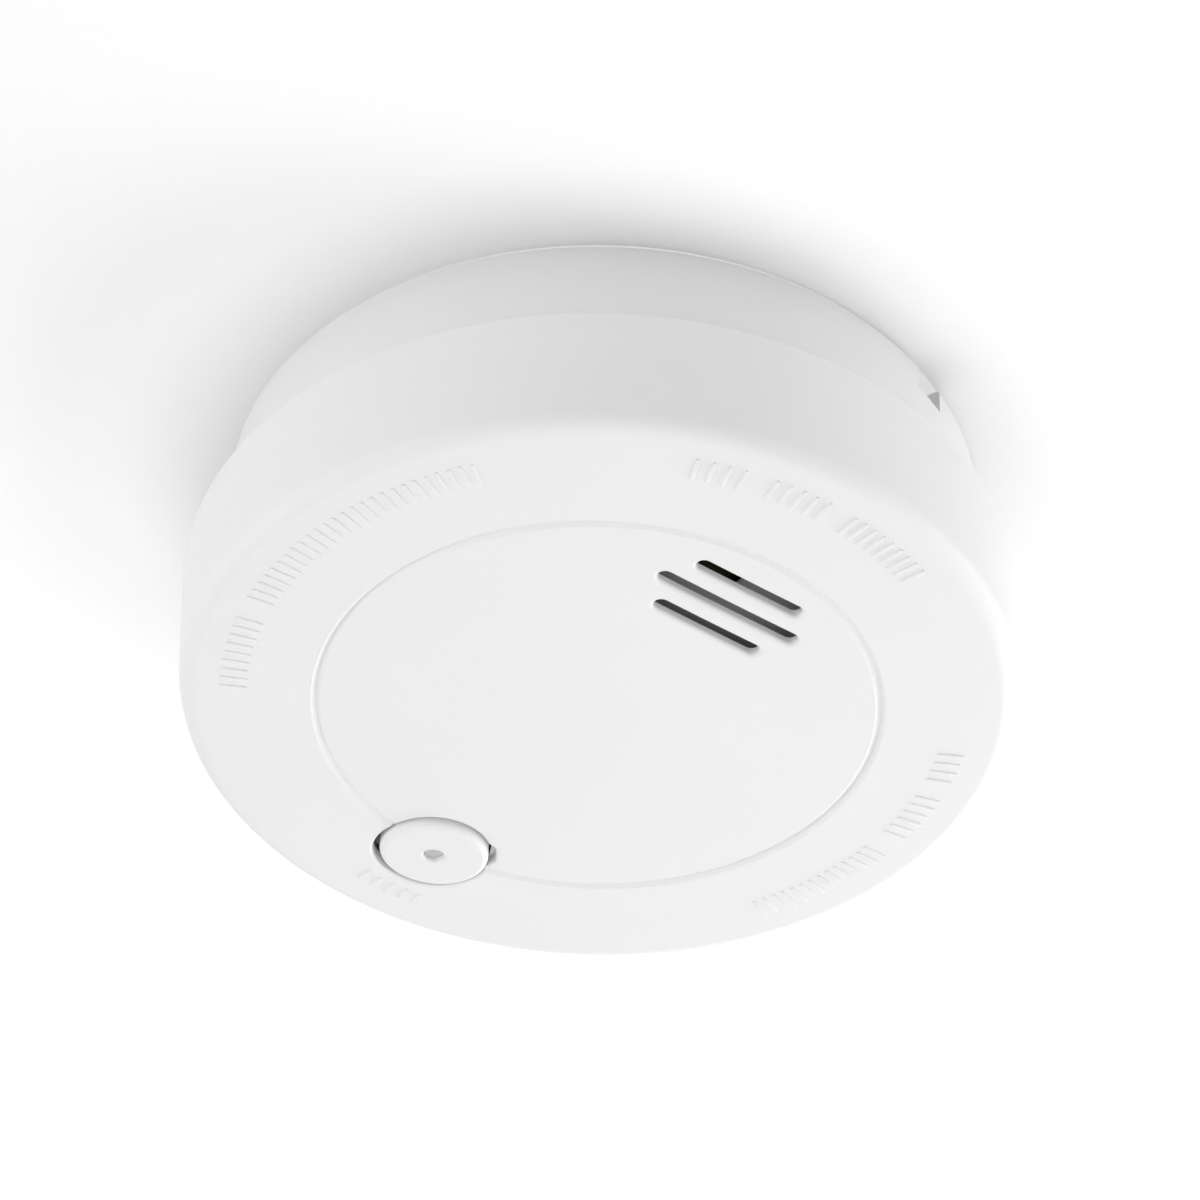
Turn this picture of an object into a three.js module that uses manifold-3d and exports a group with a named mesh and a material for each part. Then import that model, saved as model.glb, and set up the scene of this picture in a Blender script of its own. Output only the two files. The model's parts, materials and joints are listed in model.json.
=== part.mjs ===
// Ceiling smoke detector: a twist-on housing with a domed front cover, a tilting test button,
// an optical smoke chamber, a piezo sounder and a 9 V block battery.
//
// Millimetres, +Z up. The origin is the centre of the mounting plate's ceiling face, so the
// detector hangs from z = 0 downwards. The test button lies towards -Y, the sounder towards +Y.

import * as THREE from 'three';
import { mergeVertices } from 'three/addons/utils/BufferGeometryUtils.js';
import Module from 'manifold-3d';

// ---------------------------------------------------------------- driving dimensions

const ROUND = 64; // sides of a large round
const MIDDLE_ROUND = 36; // sides of the sounder and the smoke chamber
const SMALL_ROUND = 16; // sides of a small round
const GAP = 0.3; // clearance between two pieces that touch

// front cover
const COVER_RADIUS = 52; // at its ceiling-side rim, the largest radius of the detector
const COVER_DRAFT = 0.5; // how much smaller the wall is at the face
const BODY_HEIGHT = 34.8; // ceiling to the middle of the face
const COVER_HEIGHT = 18.7; // middle of the face to the cover's rim
const DOME_RISE = 1.57; // how far the face curves back towards the ceiling, at COVER_RADIUS
const EDGE_ROUND = 2.5;
const RIM_ROUND = 0.5;
const COVER_WALL = 2;
const GROOVE_RADIUS = 34.65;
const GROOVE_WIDTH = 1.4;
const GROOVE_DEPTH = 0.45;
const SUNK = 0.5; // how far a rib or lug reaches into the wall it grows from

// the cover's snap arms, which catch in the drum's windows
const ARM_ANGLES = [45, 135, 225, 315];
const ARM_INNER = 42.9;
const ARM_OUTER = 44.3;
const ARM_WIDTH = 6;
const ARM_END = -19.6;
const NOSE_REACH = 46.2;
const NOSE_LOW = -22.2;
const NOSE_HIGH = -19.8;

// sounder grille
const GRILLE_X = -0.9;
const GRILLE_Y = 25.1;
const SLOT_PITCH = 4.27;
const SLOT_WIDTH = 2.1;
const SLOT_CENTRES = [13.6, 18.8, 13.6]; // distance between each slot's end centres
const GRILLE_THICKNESS = 1.25; // the face is thinner around the slots
const GRILLE_RADIUS = 12.5;
const SOUND_WALL = 1.2; // the ring behind the grille that meets the sounder
const SOUND_WALL_PLAY = 0.4;
const SOUND_WALL_LOW = -33.2;
const SOUND_WALL_HIGH = -30;

// test button
const BUTTON_Y = -35.25;
const BUTTON_X = -0.15;
const BUTTON_HOLE = 7.45;
const HOLE_SHIFT = [0.2, -0.1]; // the hole's centre, seen from the button's
const BUTTON_RADIUS = 6.9;
const BUTTON_WALL = 1.2;
const BUTTON_TOP = 1.4;
const BUTTON_INNER_PROUD = 1.05; // how far the edge nearest the centre stands out of the face
const BUTTON_OUTER_PROUD = 0.05;
const BUTTON_BACK_Z = -31.2;
const LIGHT_HOLE = 1.3;
const LIGHT_COLLAR = 1; // thickness of the collar around the light guide
const COLLAR_END = -32.2;
const GUIDE_SUNK = 0.45; // how far the light guide's end lies behind the button's face
const GUIDE_END = -32.1;
const PIVOT_Y = -44;
const PIVOT_Z = -30;
const PIVOT_PIN = 0.9;
const PIVOT_BARREL = 1.15;
const PIN_SPAN = 12.8;
const BARREL_SPAN = 7.8;
const LUG_INNER = 4.5; // the lugs' sides, seen from the button's centre
const LUG_OUTER = 6.7;
const LUG_HALF = 2.1;
const WEB_WIDTH = 7.6; // the web that joins the button to its barrel
const WEB_LOW = -31.6;
const WEB_HIGH = -29.8;
const STOP_WIDTH = 6; // the tongue that keeps the button from falling out
const STOP_REACH = 1.8;
const STOP_LOW = -31.75;
const PRESSER_RADIUS = 1.2;
const PRESSER_END = -31.5;
const SWITCH_Y = 4.2; // from the button's centre towards the middle of the detector
const SWITCH_SIDE = 4.8;
const SWITCH_FRONT = -29.7;
const PLUNGER_RADIUS = 1.2;
const PLUNGER_FRONT = -30.7;
const PLUNGER_BACK = -28.4;

// rear housing
const DRUM_RADIUS = 47.05;
const DRUM_WALL = 2.2;
const DRUM_TOP = -0.3;
const DRUM_BOTTOM = -24.5;
const FLOOR_TOP = -6;
const FLOOR_BOTTOM = -8;
const NOTCH_ANGLE = 112.4;
const NOTCH_WIDTH = 5.3;
const NOTCH_BOTTOM = -4;
const WINDOW_COUNT = 24;
const WINDOW_WIDTH = 8;
const WINDOW_TOP = -17.5;
const WINDOW_BOTTOM = -22.5;
const SPACER_COUNT = 12;
const SPACER_RADIUS = 49.3; // ribs that keep the cover off the drum
const SPACER_WIDTH = 1.2;

// mounting plate and its bayonet
const PLATE_RADIUS = 43.4;
const PLATE_THICKNESS = 2;
const PLATE_HUB = 11;
const PLATE_RING = 36;
const PLATE_POCKET_DEPTH = 0.9;
const PLATE_POCKETS = 8;
const SCREW_SPACING = 60;
const SCREW_SLOT_WIDTH = 4.6;
const SCREW_SLOT_LENGTH = 11;
const HOOK_ANGLES = [60, 180, 300];
const HOOK_INNER = 40;
const HOOK_OUTER = 42;
const HOOK_STEM_ARC = 9.5; // degrees
const HOOK_PLAY = 0.4;
const HOOK_FOOT_TOP = -8.4;
const HOOK_FOOT_BOTTOM = -10;
const TWIST = 12; // degrees from locked to free

// battery and its pocket
const BATTERY_WIDTH = 26.5;
const BATTERY_LENGTH = 46.4;
const BATTERY_DEPTH = 17.5;
const BATTERY_X = -21.2;
const BATTERY_END_Y = 21.1;
const BATTERY_BACK_Z = -6.1;
const SNAP_SPACING = 12.7;
const SNAP_HEIGHT = 1.9;
const STUD_RADIUS = 2.85;
const SOCKET_RADIUS = 4.2;
const POCKET_WALL = 1.5;
const POCKET_FLOOR = 1.2;
const POCKET_HALF_LENGTH = 25.6;
const POCKET_PLAY = 0.75; // beside the battery
const CONTACT_Y = [24.3, 24.8];
const CONTACT_WIDTH = 6.8;
const CONTACT_TAIL = 4;
const CONTACT_TOP = -9.6;
const TAIL_PLAY = 0.3;

// circuit board
const BOARD_RADIUS = 41.5;
const BOARD_TOP = -25.4;
const BOARD_BOTTOM = -27;
const POSTS = [[19.5, 30.5], [-21.5, 32], [33.5, -21], [-19, -34]];
const POST_RADIUS = 2.8;
const PILOT_RADIUS = 1.4;
const PILOT_TOP = -18;
const SCREW_HOLE = 1.5;
const SCREW_HEAD = -28.9;
const SCREW_TIP = -18.9;

// smoke chamber
const CHAMBER_X = 20;
const CHAMBER_Y = -2;
const CHAMBER_RADIUS = 17;
const CHAMBER_BASE_TOP = -23.9;
const CHAMBER_FINS = 20;
const CHAMBER_FIN_TOP = -13.7;
const CHAMBER_CAP_TOP = -12;
const SCREEN_OPENINGS = 24;
const EYE_RADIUS = 2.5; // emitter and photodiode
const EYE_Z = -19;
const SCATTER_ANGLE = 120;

// sounder
const SOUNDER_RADIUS = 15.2;
const PIEZO_RADIUS = 13.2;
const CERAMIC_RADIUS = 9.8;
const SOUNDER_FRONT = -31.4;
const PIEZO_FRONT = -30.1;
const LID_THICKNESS = 0.5;
const SOUND_HOLE = 3; // the lid's opening, off its centre
const SOUND_HOLE_X = 2.8;
const SOUND_HOLE_Y = 2.1;

// ---------------------------------------------------------------- finishes

const finish = (color, roughness, metalness = 0) =>
  new THREE.MeshStandardMaterial({ color, roughness, metalness });

const WHITE_ABS = () => finish(0xf1f1f0, 0.5);
const GREY_ABS = () => finish(0xd8d9d8, 0.6);
const DARK_ABS = () => finish(0x8a8b8c, 0.6);
const BLACK_NYLON = () => finish(0x1b1c1e, 0.6);
const BOARD_GREEN = () => finish(0x1f5b3a, 0.55);
const STEEL = () => finish(0xb9bcc0, 0.35, 1);
const BRASS = () => finish(0xc9a552, 0.35, 1);
const CLEAR_ACRYLIC = () => finish(0xdfe6ea, 0.15);

// ---------------------------------------------------------------- solids

const wasm = await Module();
wasm.setup();

const degrees = THREE.MathUtils.degToRad;

// A three.js geometry as a closed solid with its faces pointing out.
function solid(geometry) {
  const bare = geometry.clone();
  bare.deleteAttribute('normal');
  bare.deleteAttribute('uv');
  const merged = mergeVertices(bare, 1e-4);
  const place = merged.attributes.position;
  const corner = [0, 1, 2].map(() => new THREE.Vector3());
  const faces = [];
  let volume = 0;
  for (let i = 0; i < merged.index.count; i += 3) {
    const ids = [0, 1, 2].map((k) => merged.index.getX(i + k));
    if (new Set(ids).size < 3) continue;
    ids.forEach((id, k) => corner[k].fromBufferAttribute(place, id));
    volume += corner[0].dot(corner[1].clone().cross(corner[2]));
    faces.push(ids);
  }
  if (volume < 0) faces.forEach((face) => face.reverse());
  return new wasm.Manifold(new wasm.Mesh({
    numProp: 3,
    vertProperties: new Float32Array(place.array),
    triVerts: new Uint32Array(faces.flat()),
  }));
}

function geometryOf(body) {
  const mesh = body.getMesh();
  const geometry = new THREE.BufferGeometry();
  const stride = mesh.numProp;
  const points = new Float32Array(mesh.numVert * 3);
  for (let i = 0; i < mesh.numVert; i += 1) {
    points.set(mesh.vertProperties.subarray(i * stride, i * stride + 3), i * 3);
  }
  geometry.setAttribute('position', new THREE.BufferAttribute(points, 3));
  geometry.setIndex([...mesh.triVerts]);
  geometry.computeVertexNormals();
  return geometry;
}

const join = (first, ...others) => others.reduce((body, other) => body.add(other), first);
const cut = (body, ...tools) => tools.reduce((rest, tool) => rest.subtract(tool), body);
const copies = (count, make) => Array.from({ length: count }, (_, i) => make(i));

// Turns a profile of [radius, z] points about the Z axis. A profile either runs from axis to
// axis or is a closed ring.
function turned(profile, sides = ROUND) {
  const points = profile.map(([r, z]) => new THREE.Vector2(r, z));
  const onAxis = profile[0][0] === 0 && profile.at(-1)[0] === 0;
  if (!onAxis) points.push(points[0].clone());
  return solid(new THREE.LatheGeometry(points, sides).rotateX(Math.PI / 2));
}

const disc = (radius, low, high, sides = ROUND) =>
  turned([[0, low], [radius, low], [radius, high], [0, high]], sides);

const ring = (outer, inner, low, high, sides = ROUND) =>
  turned([[outer, low], [outer, high], [inner, high], [inner, low]], sides);

function block(x, y, z) {
  const geometry = new THREE.BoxGeometry(x[1] - x[0], y[1] - y[0], z[1] - z[0]);
  geometry.translate((x[0] + x[1]) / 2, (y[0] + y[1]) / 2, (z[0] + z[1]) / 2);
  return solid(geometry);
}

function prism(outline, low, high) {
  const shape = new THREE.Shape(outline.map(([x, y]) => new THREE.Vector2(x, y)));
  const options = { depth: high - low, bevelEnabled: false, steps: 1 };
  return solid(new THREE.ExtrudeGeometry(shape, options).translate(0, 0, low));
}

// A flat-ended bar with half-round ends along X.
function roundBar(centres, width, low, high, sides = 8) {
  const half = centres / 2;
  const end = (sign) => copies(sides + 1, (i) => {
    const turn = degrees(-90 + (180 * i) / sides);
    const x = half + (width / 2) * Math.cos(turn);
    const y = (width / 2) * Math.sin(turn);
    return [sign * x, sign * y];
  });
  return prism([...end(1), ...end(-1)], low, high);
}

// A sector of a ring between two angles, in degrees.
function sector(inner, outer, from, to, low, high, steps = 8) {
  const arc = (radius, start, end) => copies(steps + 1, (i) => {
    const turn = degrees(start + ((end - start) * i) / steps);
    return [radius * Math.cos(turn), radius * Math.sin(turn)];
  });
  return prism([...arc(outer, from, to), ...arc(inner, to, from)], low, high);
}

// A rod along X.
const rodX = (radius, x0, x1, y, z) =>
  disc(radius, x0, x1, SMALL_ROUND).rotate([0, 90, 0]).translate([0, y, z]);

function piece(name, body, material) {
  const mesh = new THREE.Mesh(geometryOf(body), material);
  mesh.name = name;
  return mesh;
}

function group(...children) {
  const holder = new THREE.Group();
  holder.add(...children);
  return holder;
}

// ---------------------------------------------------------------- front cover

const faceZ = (radius) => -BODY_HEIGHT + DOME_RISE * (radius / COVER_RADIUS) ** 2;
const RIM_Z = -BODY_HEIGHT + COVER_HEIGHT;

// The cover's outline from the middle of the face out to its rim and back along the inside.
function coverProfile() {
  const wallFoot = COVER_RADIUS - COVER_DRAFT;
  const roundStart = wallFoot - EDGE_ROUND;
  const roundZ = faceZ(roundStart) + EDGE_ROUND;
  const insideRound = EDGE_ROUND - COVER_WALL;
  const outside = [0, 16, 33, 42].map((r) => [r, faceZ(r)]);
  const edge = copies(5, (i) => {
    const turn = degrees(4 + (86 * i) / 4);
    return [roundStart + EDGE_ROUND * Math.sin(turn), roundZ - EDGE_ROUND * Math.cos(turn)];
  });
  const rim = [
    [COVER_RADIUS, RIM_Z - RIM_ROUND],
    [COVER_RADIUS - RIM_ROUND, RIM_Z],
    [COVER_RADIUS - COVER_WALL, RIM_Z],
  ];
  const inside = [
    [wallFoot - COVER_WALL, roundZ],
    [roundStart, roundZ - insideRound],
    ...[33, 16, 0].map((r) => [r, faceZ(r) + COVER_WALL]),
  ];
  return [...outside, ...edge, ...rim, ...inside];
}

function grilleSlots() {
  return SLOT_CENTRES.map((centres, i) => {
    const y = GRILLE_Y + (i - 1) * SLOT_PITCH;
    const bar = roundBar(centres, SLOT_WIDTH, -BODY_HEIGHT - 1, -BODY_HEIGHT + 5);
    return bar.translate([GRILLE_X, y, 0]);
  });
}

// Thins the face behind the slots, following its dome.
function grilleRecess() {
  const behind = [0, 16, 33, 42].map((r) => [r, faceZ(r) + GRILLE_THICKNESS]);
  const back = -BODY_HEIGHT + 2 * COVER_WALL;
  const layer = turned([...behind, [42, back], [0, back]]);
  const around = disc(GRILLE_RADIUS, -BODY_HEIGHT, back, MIDDLE_ROUND);
  return layer.intersect(around.translate([GRILLE_X, GRILLE_Y, 0]));
}

// A springy arm inside the cover whose nose sits in one of the drum's windows.
function snapArm(angle) {
  const half = ARM_WIDTH / 2;
  const arm = block([ARM_INNER, ARM_OUTER], [-half, half], [faceZ(ARM_INNER) + COVER_WALL - SUNK, ARM_END]);
  const wedge = [[ARM_OUTER - 0.1, NOSE_LOW], [NOSE_REACH, NOSE_LOW], [ARM_OUTER - 0.1, NOSE_HIGH]];
  const nose = prism(wedge, -half, half).rotate([90, 0, 0]);
  return join(arm, nose).rotate([0, 0, angle]);
}

// The pair of lugs that carry the button's pivot pins.
function pivotLug(side) {
  const x = [LUG_INNER, LUG_OUTER].map((value) => BUTTON_X + side * value).sort((a, b) => a - b);
  const y = [PIVOT_Y - LUG_HALF, PIVOT_Y + LUG_HALF];
  const lug = block(x, y, [faceZ(-PIVOT_Y) + COVER_WALL - SUNK, PIVOT_Z + LUG_HALF]);
  return cut(lug, rodX(PIVOT_PIN + GAP, x[0] - 1, x[1] + 1, PIVOT_Y, PIVOT_Z));
}

function frontCover() {
  const shell = turned(coverProfile());
  const groove = turned([
    [GROOVE_RADIUS - GROOVE_WIDTH / 2, faceZ(GROOVE_RADIUS) - 0.01],
    [GROOVE_RADIUS, faceZ(GROOVE_RADIUS) + GROOVE_DEPTH],
    [GROOVE_RADIUS + GROOVE_WIDTH / 2, faceZ(GROOVE_RADIUS) - 0.01],
    [GROOVE_RADIUS, faceZ(GROOVE_RADIUS) - 0.5],
  ]);
  const buttonHole = disc(BUTTON_HOLE, -BODY_HEIGHT - 1, -BODY_HEIGHT + 7, MIDDLE_ROUND)
    .translate([BUTTON_X + HOLE_SHIFT[0], BUTTON_Y + HOLE_SHIFT[1], 0]);
  const wallInner = SOUNDER_RADIUS + SOUND_WALL_PLAY;
  const soundWall = ring(wallInner + SOUND_WALL, wallInner, SOUND_WALL_LOW, SOUND_WALL_HIGH, MIDDLE_ROUND)
    .translate([GRILLE_X, GRILLE_Y, 0]);
  const whole = join(shell, ...ARM_ANGLES.map(snapArm), pivotLug(-1), pivotLug(1), soundWall);
  return cut(whole, groove, buttonHole, grilleRecess(), ...grilleSlots());
}

// ---------------------------------------------------------------- rear housing

function batteryPocket(grow, low, high) {
  const halfWidth = BATTERY_WIDTH / 2 + POCKET_PLAY + grow;
  const halfLength = POCKET_HALF_LENGTH + grow;
  return block([BATTERY_X - halfWidth, BATTERY_X + halfWidth], [-halfLength, halfLength], [low, high]);
}

const pocketFloorTop = BATTERY_BACK_Z - BATTERY_DEPTH - GAP;
const pocketFloorBottom = pocketFloorTop - POCKET_FLOOR;
const contactX = [-1, 1].map((side) => BATTERY_X + (side * SNAP_SPACING) / 2);

// The slot in the housing floor that one bayonet hook enters and turns in.
function hookSlot(angle) {
  const from = angle - HOOK_STEM_ARC / 2 - 0.8;
  const to = angle + HOOK_STEM_ARC / 2 + TWIST + 1;
  const [inner, outer] = [HOOK_INNER - HOOK_PLAY, HOOK_OUTER + HOOK_PLAY];
  return sector(inner, outer, from, to, FLOOR_BOTTOM - 0.5, FLOOR_TOP + 0.5);
}

function spacer(index) {
  const half = SPACER_WIDTH / 2;
  const x = [DRUM_RADIUS - SUNK, SPACER_RADIUS];
  const rib = block(x, [-half, half], [DRUM_BOTTOM, WINDOW_TOP + 0.4]);
  return rib.rotate([0, 0, (index * 360) / SPACER_COUNT + 180 / WINDOW_COUNT]);
}

function drumWindow(index) {
  const half = WINDOW_WIDTH / 2;
  const x = [DRUM_RADIUS - 2 * DRUM_WALL, DRUM_RADIUS + 2 * DRUM_WALL];
  const opening = block(x, [-half, half], [WINDOW_BOTTOM, WINDOW_TOP]);
  return opening.rotate([0, 0, (index * 360) / WINDOW_COUNT]);
}

function rearHousing() {
  const inner = DRUM_RADIUS - DRUM_WALL;
  const drum = turned([
    [DRUM_RADIUS, DRUM_BOTTOM],
    [DRUM_RADIUS, DRUM_TOP - RIM_ROUND],
    [DRUM_RADIUS - RIM_ROUND, DRUM_TOP],
    [inner, DRUM_TOP],
    [inner, DRUM_BOTTOM],
  ]);
  const floor = disc(inner + SUNK, FLOOR_BOTTOM, FLOOR_TOP);
  const insideDrum = disc(inner + SUNK, DRUM_BOTTOM - 2, FLOOR_TOP);
  const pocket = batteryPocket(POCKET_WALL, pocketFloorBottom, FLOOR_TOP).intersect(insideDrum);
  const posts = POSTS.map(([x, y]) =>
    disc(POST_RADIUS, BOARD_TOP + GAP, FLOOR_BOTTOM + SUNK, SMALL_ROUND).translate([x, y, 0]));
  const pilots = POSTS.map(([x, y]) =>
    disc(PILOT_RADIUS, BOARD_TOP - 1, PILOT_TOP, 12).translate([x, y, 0]));
  const tailHalf = CONTACT_TAIL / 2 + TAIL_PLAY;
  const tailY = [CONTACT_Y[0] - TAIL_PLAY, POCKET_HALF_LENGTH];
  const tails = contactX.map((x) =>
    block([x - tailHalf, x + tailHalf], tailY, [pocketFloorBottom - 1, pocketFloorTop + 1]));
  const notchX = [DRUM_RADIUS - 2 * DRUM_WALL, DRUM_RADIUS + 2 * DRUM_WALL];
  const notch = block(notchX, [-NOTCH_WIDTH / 2, NOTCH_WIDTH / 2], [NOTCH_BOTTOM, 1])
    .rotate([0, 0, NOTCH_ANGLE]);
  const whole = join(drum, floor, pocket, ...posts, ...copies(SPACER_COUNT, spacer));
  return cut(
    whole,
    batteryPocket(0, pocketFloorTop, FLOOR_TOP + 1),
    ...HOOK_ANGLES.map(hookSlot),
    ...copies(WINDOW_COUNT, drumWindow),
    ...pilots,
    ...tails,
    notch,
  );
}

// ---------------------------------------------------------------- mounting plate

function bayonetHook(angle) {
  const half = HOOK_STEM_ARC / 2;
  const stem = sector(HOOK_INNER, HOOK_OUTER, angle - half, angle + half, HOOK_FOOT_BOTTOM, -1);
  const foot = sector(
    HOOK_INNER, HOOK_OUTER,
    angle - half - HOOK_STEM_ARC, angle + half,
    HOOK_FOOT_BOTTOM, HOOK_FOOT_TOP,
  );
  return join(stem, foot);
}

function mountingPlate() {
  const plate = disc(PLATE_RADIUS, -PLATE_THICKNESS, 0);
  const pocketArc = 360 / PLATE_POCKETS;
  const pockets = copies(PLATE_POCKETS, (i) => {
    const middle = (i + 0.5) * pocketArc;
    return sector(PLATE_HUB, PLATE_RING, middle - 16, middle + 16, -PLATE_POCKET_DEPTH, 1);
  });
  const slotCentres = SCREW_SLOT_LENGTH - SCREW_SLOT_WIDTH;
  const slots = [-1, 1].map((side) =>
    roundBar(slotCentres, SCREW_SLOT_WIDTH, -PLATE_THICKNESS - 1, 1)
      .translate([(side * SCREW_SPACING) / 2, 0, 0]));
  const arcSlots = [90, 270].map((middle) =>
    sector(28, 28 + SCREW_SLOT_WIDTH, middle - 11, middle + 11, -PLATE_THICKNESS - 1, 1));
  const hooks = HOOK_ANGLES.map(bayonetHook);
  return cut(join(plate, ...hooks), ...pockets, ...slots, ...arcSlots);
}

// ---------------------------------------------------------------- test button

// The button's parts are drawn about its own centre and placed together.
function buttonFace(y) {
  const span = 2 * BUTTON_RADIUS;
  const outer = faceZ(-BUTTON_Y + BUTTON_RADIUS) - BUTTON_OUTER_PROUD;
  const inner = faceZ(-BUTTON_Y - BUTTON_RADIUS) - BUTTON_INNER_PROUD;
  return outer + ((inner - outer) * (y + BUTTON_RADIUS)) / span;
}

// A slab that removes what lies beyond the button's tilted face.
function belowFace(offset) {
  const reach = BUTTON_RADIUS + 2;
  const outline = [
    [-reach, buttonFace(-reach) + offset],
    [reach, buttonFace(reach) + offset],
    [reach, -BODY_HEIGHT - reach],
    [-reach, -BODY_HEIGHT - reach],
  ];
  return prism(outline, -reach, reach).rotate([90, 0, 90]);
}

function testButton() {
  const low = -BODY_HEIGHT - 3;
  const column = (radius, high, sides) => disc(radius, low, high, sides);
  const cap = cut(column(BUTTON_RADIUS, BUTTON_BACK_Z, MIDDLE_ROUND), belowFace(0));
  const inside = column(BUTTON_RADIUS - BUTTON_WALL, BUTTON_BACK_Z + 1, MIDDLE_ROUND);
  const hollow = cut(inside, belowFace(BUTTON_TOP));
  const presser = cut(
    column(PRESSER_RADIUS, PRESSER_END, SMALL_ROUND).translate([0, SWITCH_Y, 0]),
    belowFace(SUNK),
  );
  const collar = cut(column(LIGHT_HOLE + LIGHT_COLLAR, COLLAR_END, SMALL_ROUND), belowFace(SUNK));
  const stop = block(
    [-STOP_WIDTH / 2, STOP_WIDTH / 2],
    [BUTTON_RADIUS - 0.9, BUTTON_RADIUS + STOP_REACH],
    [STOP_LOW, BUTTON_BACK_Z],
  );
  const pivotY = PIVOT_Y - BUTTON_Y;
  const web = block([-WEB_WIDTH / 2, WEB_WIDTH / 2], [pivotY, -BUTTON_RADIUS + 1.1], [WEB_LOW, WEB_HIGH]);
  const barrel = rodX(PIVOT_BARREL, -BARREL_SPAN / 2, BARREL_SPAN / 2, pivotY, PIVOT_Z);
  const pins = rodX(PIVOT_PIN, -PIN_SPAN / 2, PIN_SPAN / 2, pivotY, PIVOT_Z);
  const whole = join(cut(cap, hollow), presser, collar, stop, web, barrel, pins);
  return cut(whole, column(LIGHT_HOLE, BUTTON_BACK_Z, SMALL_ROUND));
}

function lightGuide() {
  return disc(LIGHT_HOLE - GAP, buttonFace(0) + GUIDE_SUNK, GUIDE_END, SMALL_ROUND);
}

// ---------------------------------------------------------------- circuit board and its parts

function circuitBoard() {
  const hole = disc(SCREW_HOLE, BOARD_BOTTOM - 1, BOARD_TOP + 1, 12);
  const holes = POSTS.map(([x, y]) => hole.translate([x, y, 0]));
  return cut(disc(BOARD_RADIUS, BOARD_BOTTOM, BOARD_TOP, 48), ...holes);
}

function boardScrew() {
  return turned([
    [0, SCREW_HEAD], [1.9, SCREW_HEAD], [2.4, SCREW_HEAD + 0.5], [2.4, BOARD_BOTTOM - GAP],
    [1.05, BOARD_BOTTOM - GAP], [1.05, SCREW_TIP - 0.7], [0, SCREW_TIP],
  ], 12);
}

function switchBody() {
  const side = [-SWITCH_SIDE / 2, SWITCH_SIDE / 2];
  const housing = block(side, side, [SWITCH_FRONT, BOARD_BOTTOM - GAP]);
  return cut(housing, disc(PLUNGER_RADIUS + GAP, SWITCH_FRONT - 1, PLUNGER_BACK + 0.5, SMALL_ROUND));
}

const switchPlunger = () => disc(PLUNGER_RADIUS, PLUNGER_FRONT, PLUNGER_BACK, SMALL_ROUND);

function statusLed() {
  return turned([
    [0, -31.2], [0.8, -31], [1.3, -30.5], [1.5, -29.8],
    [1.5, BOARD_BOTTOM - GAP], [0, BOARD_BOTTOM - GAP],
  ], SMALL_ROUND);
}

function controlChip() {
  const body = block([-5, 5], [-2, 2], [-28.9, BOARD_BOTTOM - GAP - 0.1]);
  const leads = copies(8, (i) => {
    const x = -4.45 + i * 1.27;
    return block([x - 0.2, x + 0.2], [-3, 3], [-27.7, BOARD_BOTTOM - GAP]);
  });
  return join(body, ...leads);
}

const canStandingOnBoard = (radius, height) => turned([
  [0, BOARD_TOP + GAP], [radius, BOARD_TOP + GAP], [radius, BOARD_TOP + height - 0.4],
  [radius - 0.4, BOARD_TOP + height], [0, BOARD_TOP + height],
], SMALL_ROUND);

function boostCoil() {
  const foot = BOARD_TOP + GAP;
  return turned([
    [0, foot], [3.6, foot], [3.6, foot + 1], [2.6, foot + 1.2], [2.6, foot + 5.4],
    [3.6, foot + 5.6], [3.6, foot + 6.6], [0, foot + 6.6],
  ], SMALL_ROUND);
}

// ---------------------------------------------------------------- sounder

function sounderCup() {
  return turned([
    [SOUNDER_RADIUS, SOUNDER_FRONT], [SOUNDER_RADIUS, BOARD_BOTTOM - GAP],
    [3, BOARD_BOTTOM - GAP], [3, BOARD_BOTTOM - GAP - 0.8],
    [PIEZO_RADIUS - 1, BOARD_BOTTOM - GAP - 0.8], [PIEZO_RADIUS - 1, PIEZO_FRONT + 0.7],
    [PIEZO_RADIUS + GAP, PIEZO_FRONT + 0.7], [PIEZO_RADIUS + GAP, SOUNDER_FRONT],
  ], MIDDLE_ROUND);
}

// The sounder's lid sits in the mouth of the cup and rings the piezo in with its rim.
function sounderLid() {
  const back = SOUNDER_FRONT + LID_THICKNESS;
  const lid = turned([
    [0, SOUNDER_FRONT], [PIEZO_RADIUS, SOUNDER_FRONT], [PIEZO_RADIUS, PIEZO_FRONT - GAP],
    [PIEZO_RADIUS - 1, PIEZO_FRONT - GAP], [PIEZO_RADIUS - 1, back], [0, back],
  ], MIDDLE_ROUND);
  const hole = disc(SOUND_HOLE, SOUNDER_FRONT - 1, back + 1, MIDDLE_ROUND);
  return cut(lid, hole.translate([SOUND_HOLE_X, SOUND_HOLE_Y, 0]));
}

const piezoDisc = () => disc(PIEZO_RADIUS, PIEZO_FRONT, PIEZO_FRONT + 0.4, MIDDLE_ROUND);
const piezoCeramic = () => disc(CERAMIC_RADIUS, PIEZO_FRONT + 0.7, PIEZO_FRONT + 0.95, MIDDLE_ROUND);

// A small folded leaf between the board and the piezo.
function leafContact(x, touchZ) {
  const outline = [
    [-1.6, BOARD_BOTTOM - GAP], [1.6, BOARD_BOTTOM - GAP], [1.6, BOARD_BOTTOM - GAP - 0.35],
    [-0.8, BOARD_BOTTOM - GAP - 0.35], [1.2, touchZ + 0.3], [0.9, touchZ + 0.1],
    [-1.6, BOARD_BOTTOM - GAP - 0.5],
  ];
  return prism(outline, -0.5, 0.5).rotate([90, 0, 0]).translate([x, 0, 0]);
}

// ---------------------------------------------------------------- smoke chamber

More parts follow.
